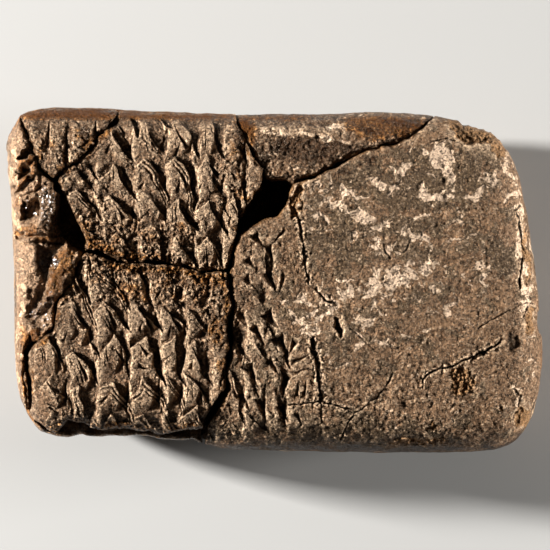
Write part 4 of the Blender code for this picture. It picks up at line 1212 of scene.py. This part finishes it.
def clay_material(name, base, bare_clay, gritty, stained, rough, shiny, relief):
    """Fired clay: mottled, paler where worn, with painted shade in hollows and pits and a painted highlight
    on crests, stained and broken in places.
    """
    n = Nodes(name, base)
    mottle = n.noise(420.0, 6.0, 0.65)
    grain = n.noise(1300.0, 5.0, 0.85)
    patchy = n.noise(300.0, 6.0, 0.7)
    ragged = n.noise(900.0, 5.0, 0.75)
    written, stain = n.attribute("written"), n.attribute("stain")
    rugged = n.ramp(n.attribute("smoothed"), 0.2, 0.9, 1.0, 0.3)

    # The clay and its skin, which is worn through in patches with paler rims.
    n.layer(n.ramp(mottle, 0.42, 0.66, 0.0, 0.6 * gritty), DEEP_BROWN)
    n.layer(n.ramp(n.noise(110.0, 4.0, 0.6), 0.4, 0.65, 0.0, 0.4), WRITTEN_BROWN)
    n.layer(n.times(written, 0.85), WRITTEN_BROWN)
    n.layer(n.ramp(n.swung(n.attribute("dark_skin"), ragged, 0.4), 0.46, 0.54, 0.0, 0.85), GREY_SKIN)
    worn = n.swung(n.attribute("worn"), ragged, 0.4)
    bare = n.ramp(worn, 0.78, 0.84)
    n.layer(n.times(bare, 0.85), bare_clay)
    n.layer(n.times(n.times(bare, n.ramp(worn, 1.02, 0.84)), 0.5), PALE_AND_HIGHLIGHT)

    # Painted highlight on crests and painted shade in hollows and creases.
    cavity = n.swung(n.attribute("cavity"), mottle, 0.25)
    crease = n.attribute("crease")
    n.layer(n.ramp(cavity, 0.02, 0.30, 0.0, 0.5), PALE_AND_HIGHLIGHT)
    n.layer(n.ramp(cavity, 0.0, -0.35, 0.0, 0.65), PAINTED_SHADE)
    n.layer(n.ramp(crease, 0.02, 0.10, 0.0, 0.6), PALE_AND_HIGHLIGHT)
    n.layer(n.ramp(crease, -0.02, -0.12, 0.0, 0.75), PAINTED_SHADE)

    # Pale grains and flecks, then crust (which also holds painted shade along the rims and on the lower
    # side), gloss, breaks and chips over them.
    loose = n.less(n.times(bare, 0.55))
    flecks = n.times(n.ramp(n.noise(2300.0, 3.0, 0.75), 0.56, 0.60), rugged)
    n.layer(n.times(n.ramp(grain, 0.46, 0.37), loose), LIGHTEN, "DIVIDE")
    n.layer(n.times(flecks, 0.6 * gritty), PALE_AND_HIGHLIGHT)
    crust = n.ramp(n.swung(n.attribute("crust"), mottle, 2.5), 0.4, 1.0)
    n.layer(n.times(crust, 0.85), DEEP_BROWN)
    glossy = n.ramp(n.swung(n.attribute("gloss"), patchy, 2.0), 0.6, 1.1)
    n.layer(n.times(glossy, 0.3), GLOSSY_BROWN)
    n.layer(n.times(n.attribute("broken"), 0.95), torn_clay(n, mottle))
    chip = n.mix(n.ramp(patchy, 0.45, 0.62, 0.0, 0.8), CHIP_BROWN, TORN_BROWN)
    n.layer(n.times(n.attribute("chipped"), 0.9), chip)

    # Dark grains and hairlines, painted shade in pits, then the stains over everything.
    pits = n.times(n.ramp(n.noise(2900.0, 3.0, 0.7), 0.55, 0.60), rugged)
    hairline = n.math("ABSOLUTE", n.math("SUBTRACT", n.noise(700.0, 5.0, 0.72), 0.5))
    hairline = n.ramp(hairline, 0.012, 0.002)
    n.layer(n.times(n.ramp(grain, 0.50, 0.60), loose), DARKEN, "MULTIPLY")
    n.layer(n.times(hairline, 0.55), DEEP_BROWN)
    n.layer(n.times(pits, 0.9 * gritty), PAINTED_SHADE)
    tint = n.math("ADD", n.swung(stain, patchy, 3.0), stained)
    n.layer(n.ramp(tint, 0.4, 0.95, 0.0, 0.95), STAIN_TINT, "MULTIPLY")
    rust = n.ramp(n.swung(stain, patchy, 1.6), 1.0, 1.5, 0.0, 0.8)
    n.layer(rust, RUSTY)
    n.plug(n.colour, n.shader.inputs["Base Color"])

    dull = n.ramp(mottle, 0.3, 0.7, rough + 0.12, rough - 0.12)
    shine = n.math("ADD", n.times(glossy, 0.28), n.times(crust, 0.14))
    n.plug(n.math("SUBTRACT", dull, shine), n.shader.inputs["Roughness"])
    n.plug(n.times(n.less(rust), shiny), n.shader.inputs["Specular IOR Level"])
    n.shader.inputs["Specular Tint"].default_value = GLEAM
    n.plug(glossy, n.shader.inputs["Coat Weight"])
    n.shader.inputs["Coat Roughness"].default_value = COAT_ROUGHNESS
    tooth = n.ramp(n.noise(1500.0, 3.0, 0.6), 0.38, 0.62)
    n.bumps([
        (n.math("SUBTRACT", flecks, pits), PIT_DEPTH),
        (n.times(n.times(tooth, rugged), loose), relief),
        (n.less(n.math("MAXIMUM", bare, hairline)), SKIN_DEPTH),
    ])
    return n.material


# ---------------- stage, light and camera
PHOTO_WIDTH = 84.6  # millimetres that the camera sees across at the tablet's widest level
LENS = 300.0
SENSOR = 36.0
CLIP_END = 10.0
AIM = (0.23, 0.77)  # the middle of the view, from the middle of the tablet
FLOOR_SIZE = 3.0  # metres
FLOOR_DROP = 0.0001  # metres from the tablet's reverse down to the floor
FLOOR_GREY = linear(172, 170, 166)
WORLD_STRENGTH = 0.055

# Square lights: name, azimuth and elevation in degrees, distance and size in metres, power in watts.
LIGHTS = [
    ("key", 168, 20, 0.9, 0.08, 33.5),
    ("rim", 3, 7, 0.9, 0.16, 21.0),
    ("top", 95, 35, 0.9, 0.4, 0.3),
]


def stage():
    """A plain pale floor under the tablet."""
    bpy.ops.mesh.primitive_plane_add(size=FLOOR_SIZE, location=(0, 0, -FLOOR_DROP))
    floor = bpy.context.object
    floor.name = "floor"
    material = bpy.data.materials.new("pale_floor")
    material.use_nodes = True
    shader = material.node_tree.nodes["Principled BSDF"]
    shader.inputs["Base Color"].default_value = FLOOR_GREY
    shader.inputs["Roughness"].default_value = 0.9
    floor.data.materials.append(material)


def area_light(name, azimuth, elevation, distance, size, power):
    """A light that looks at the tablet. Azimuth 0 is from +X, 90 from +Y."""
    a, e = math.radians(azimuth), math.radians(elevation)
    place = Vector((math.cos(a) * math.cos(e), math.sin(a) * math.cos(e), math.sin(e))) * distance
    data = bpy.data.lights.new(name, "AREA")
    data.size = size
    data.energy = power
    light = bpy.data.objects.new(name, data)
    light.location = place
    light.rotation_euler = (-place).to_track_quat("-Z", "Y").to_euler()
    bpy.context.scene.collection.objects.link(light)


def camera():
    """A long lens straight above the tablet, as in the photo."""
    data = bpy.data.cameras.new("camera")
    data.lens = LENS
    data.sensor_width = SENSOR
    obj = bpy.data.objects.new("camera", data)
    away = PHOTO_WIDTH * MM * LENS / SENSOR
    obj.location = (AIM[0] * MM, AIM[1] * MM, MID_HEIGHT * MM + away)
    data.clip_end = CLIP_END
    bpy.context.scene.collection.objects.link(obj)
    bpy.context.scene.camera = obj


def studio():
    """Soft white surroundings and the lights."""
    world = bpy.data.worlds.new("studio")
    world.use_nodes = True
    background = world.node_tree.nodes["Background"]
    background.inputs["Color"].default_value = (1.0, 1.0, 1.0, 1.0)
    background.inputs["Strength"].default_value = WORLD_STRENGTH
    bpy.context.scene.world = world
    bpy.context.scene.view_settings.view_transform = "Standard"
    for light in LIGHTS:
        area_light(*light)


def main():
    stage()
    studio()
    camera()
    materials = {slot: clay_material(slot, *clay) for slot, clay in CLAYS.items()}
    slots = {part["node"]: part["material_slot"] for part in frame["record"]["subparts"]}
    for node in BUDGETS:
        piece = fragment_piece(node)
        piece.data.materials.clear()
        piece.data.materials.append(materials[slots[node]])
        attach(piece, "root")
        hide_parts(node)


main()
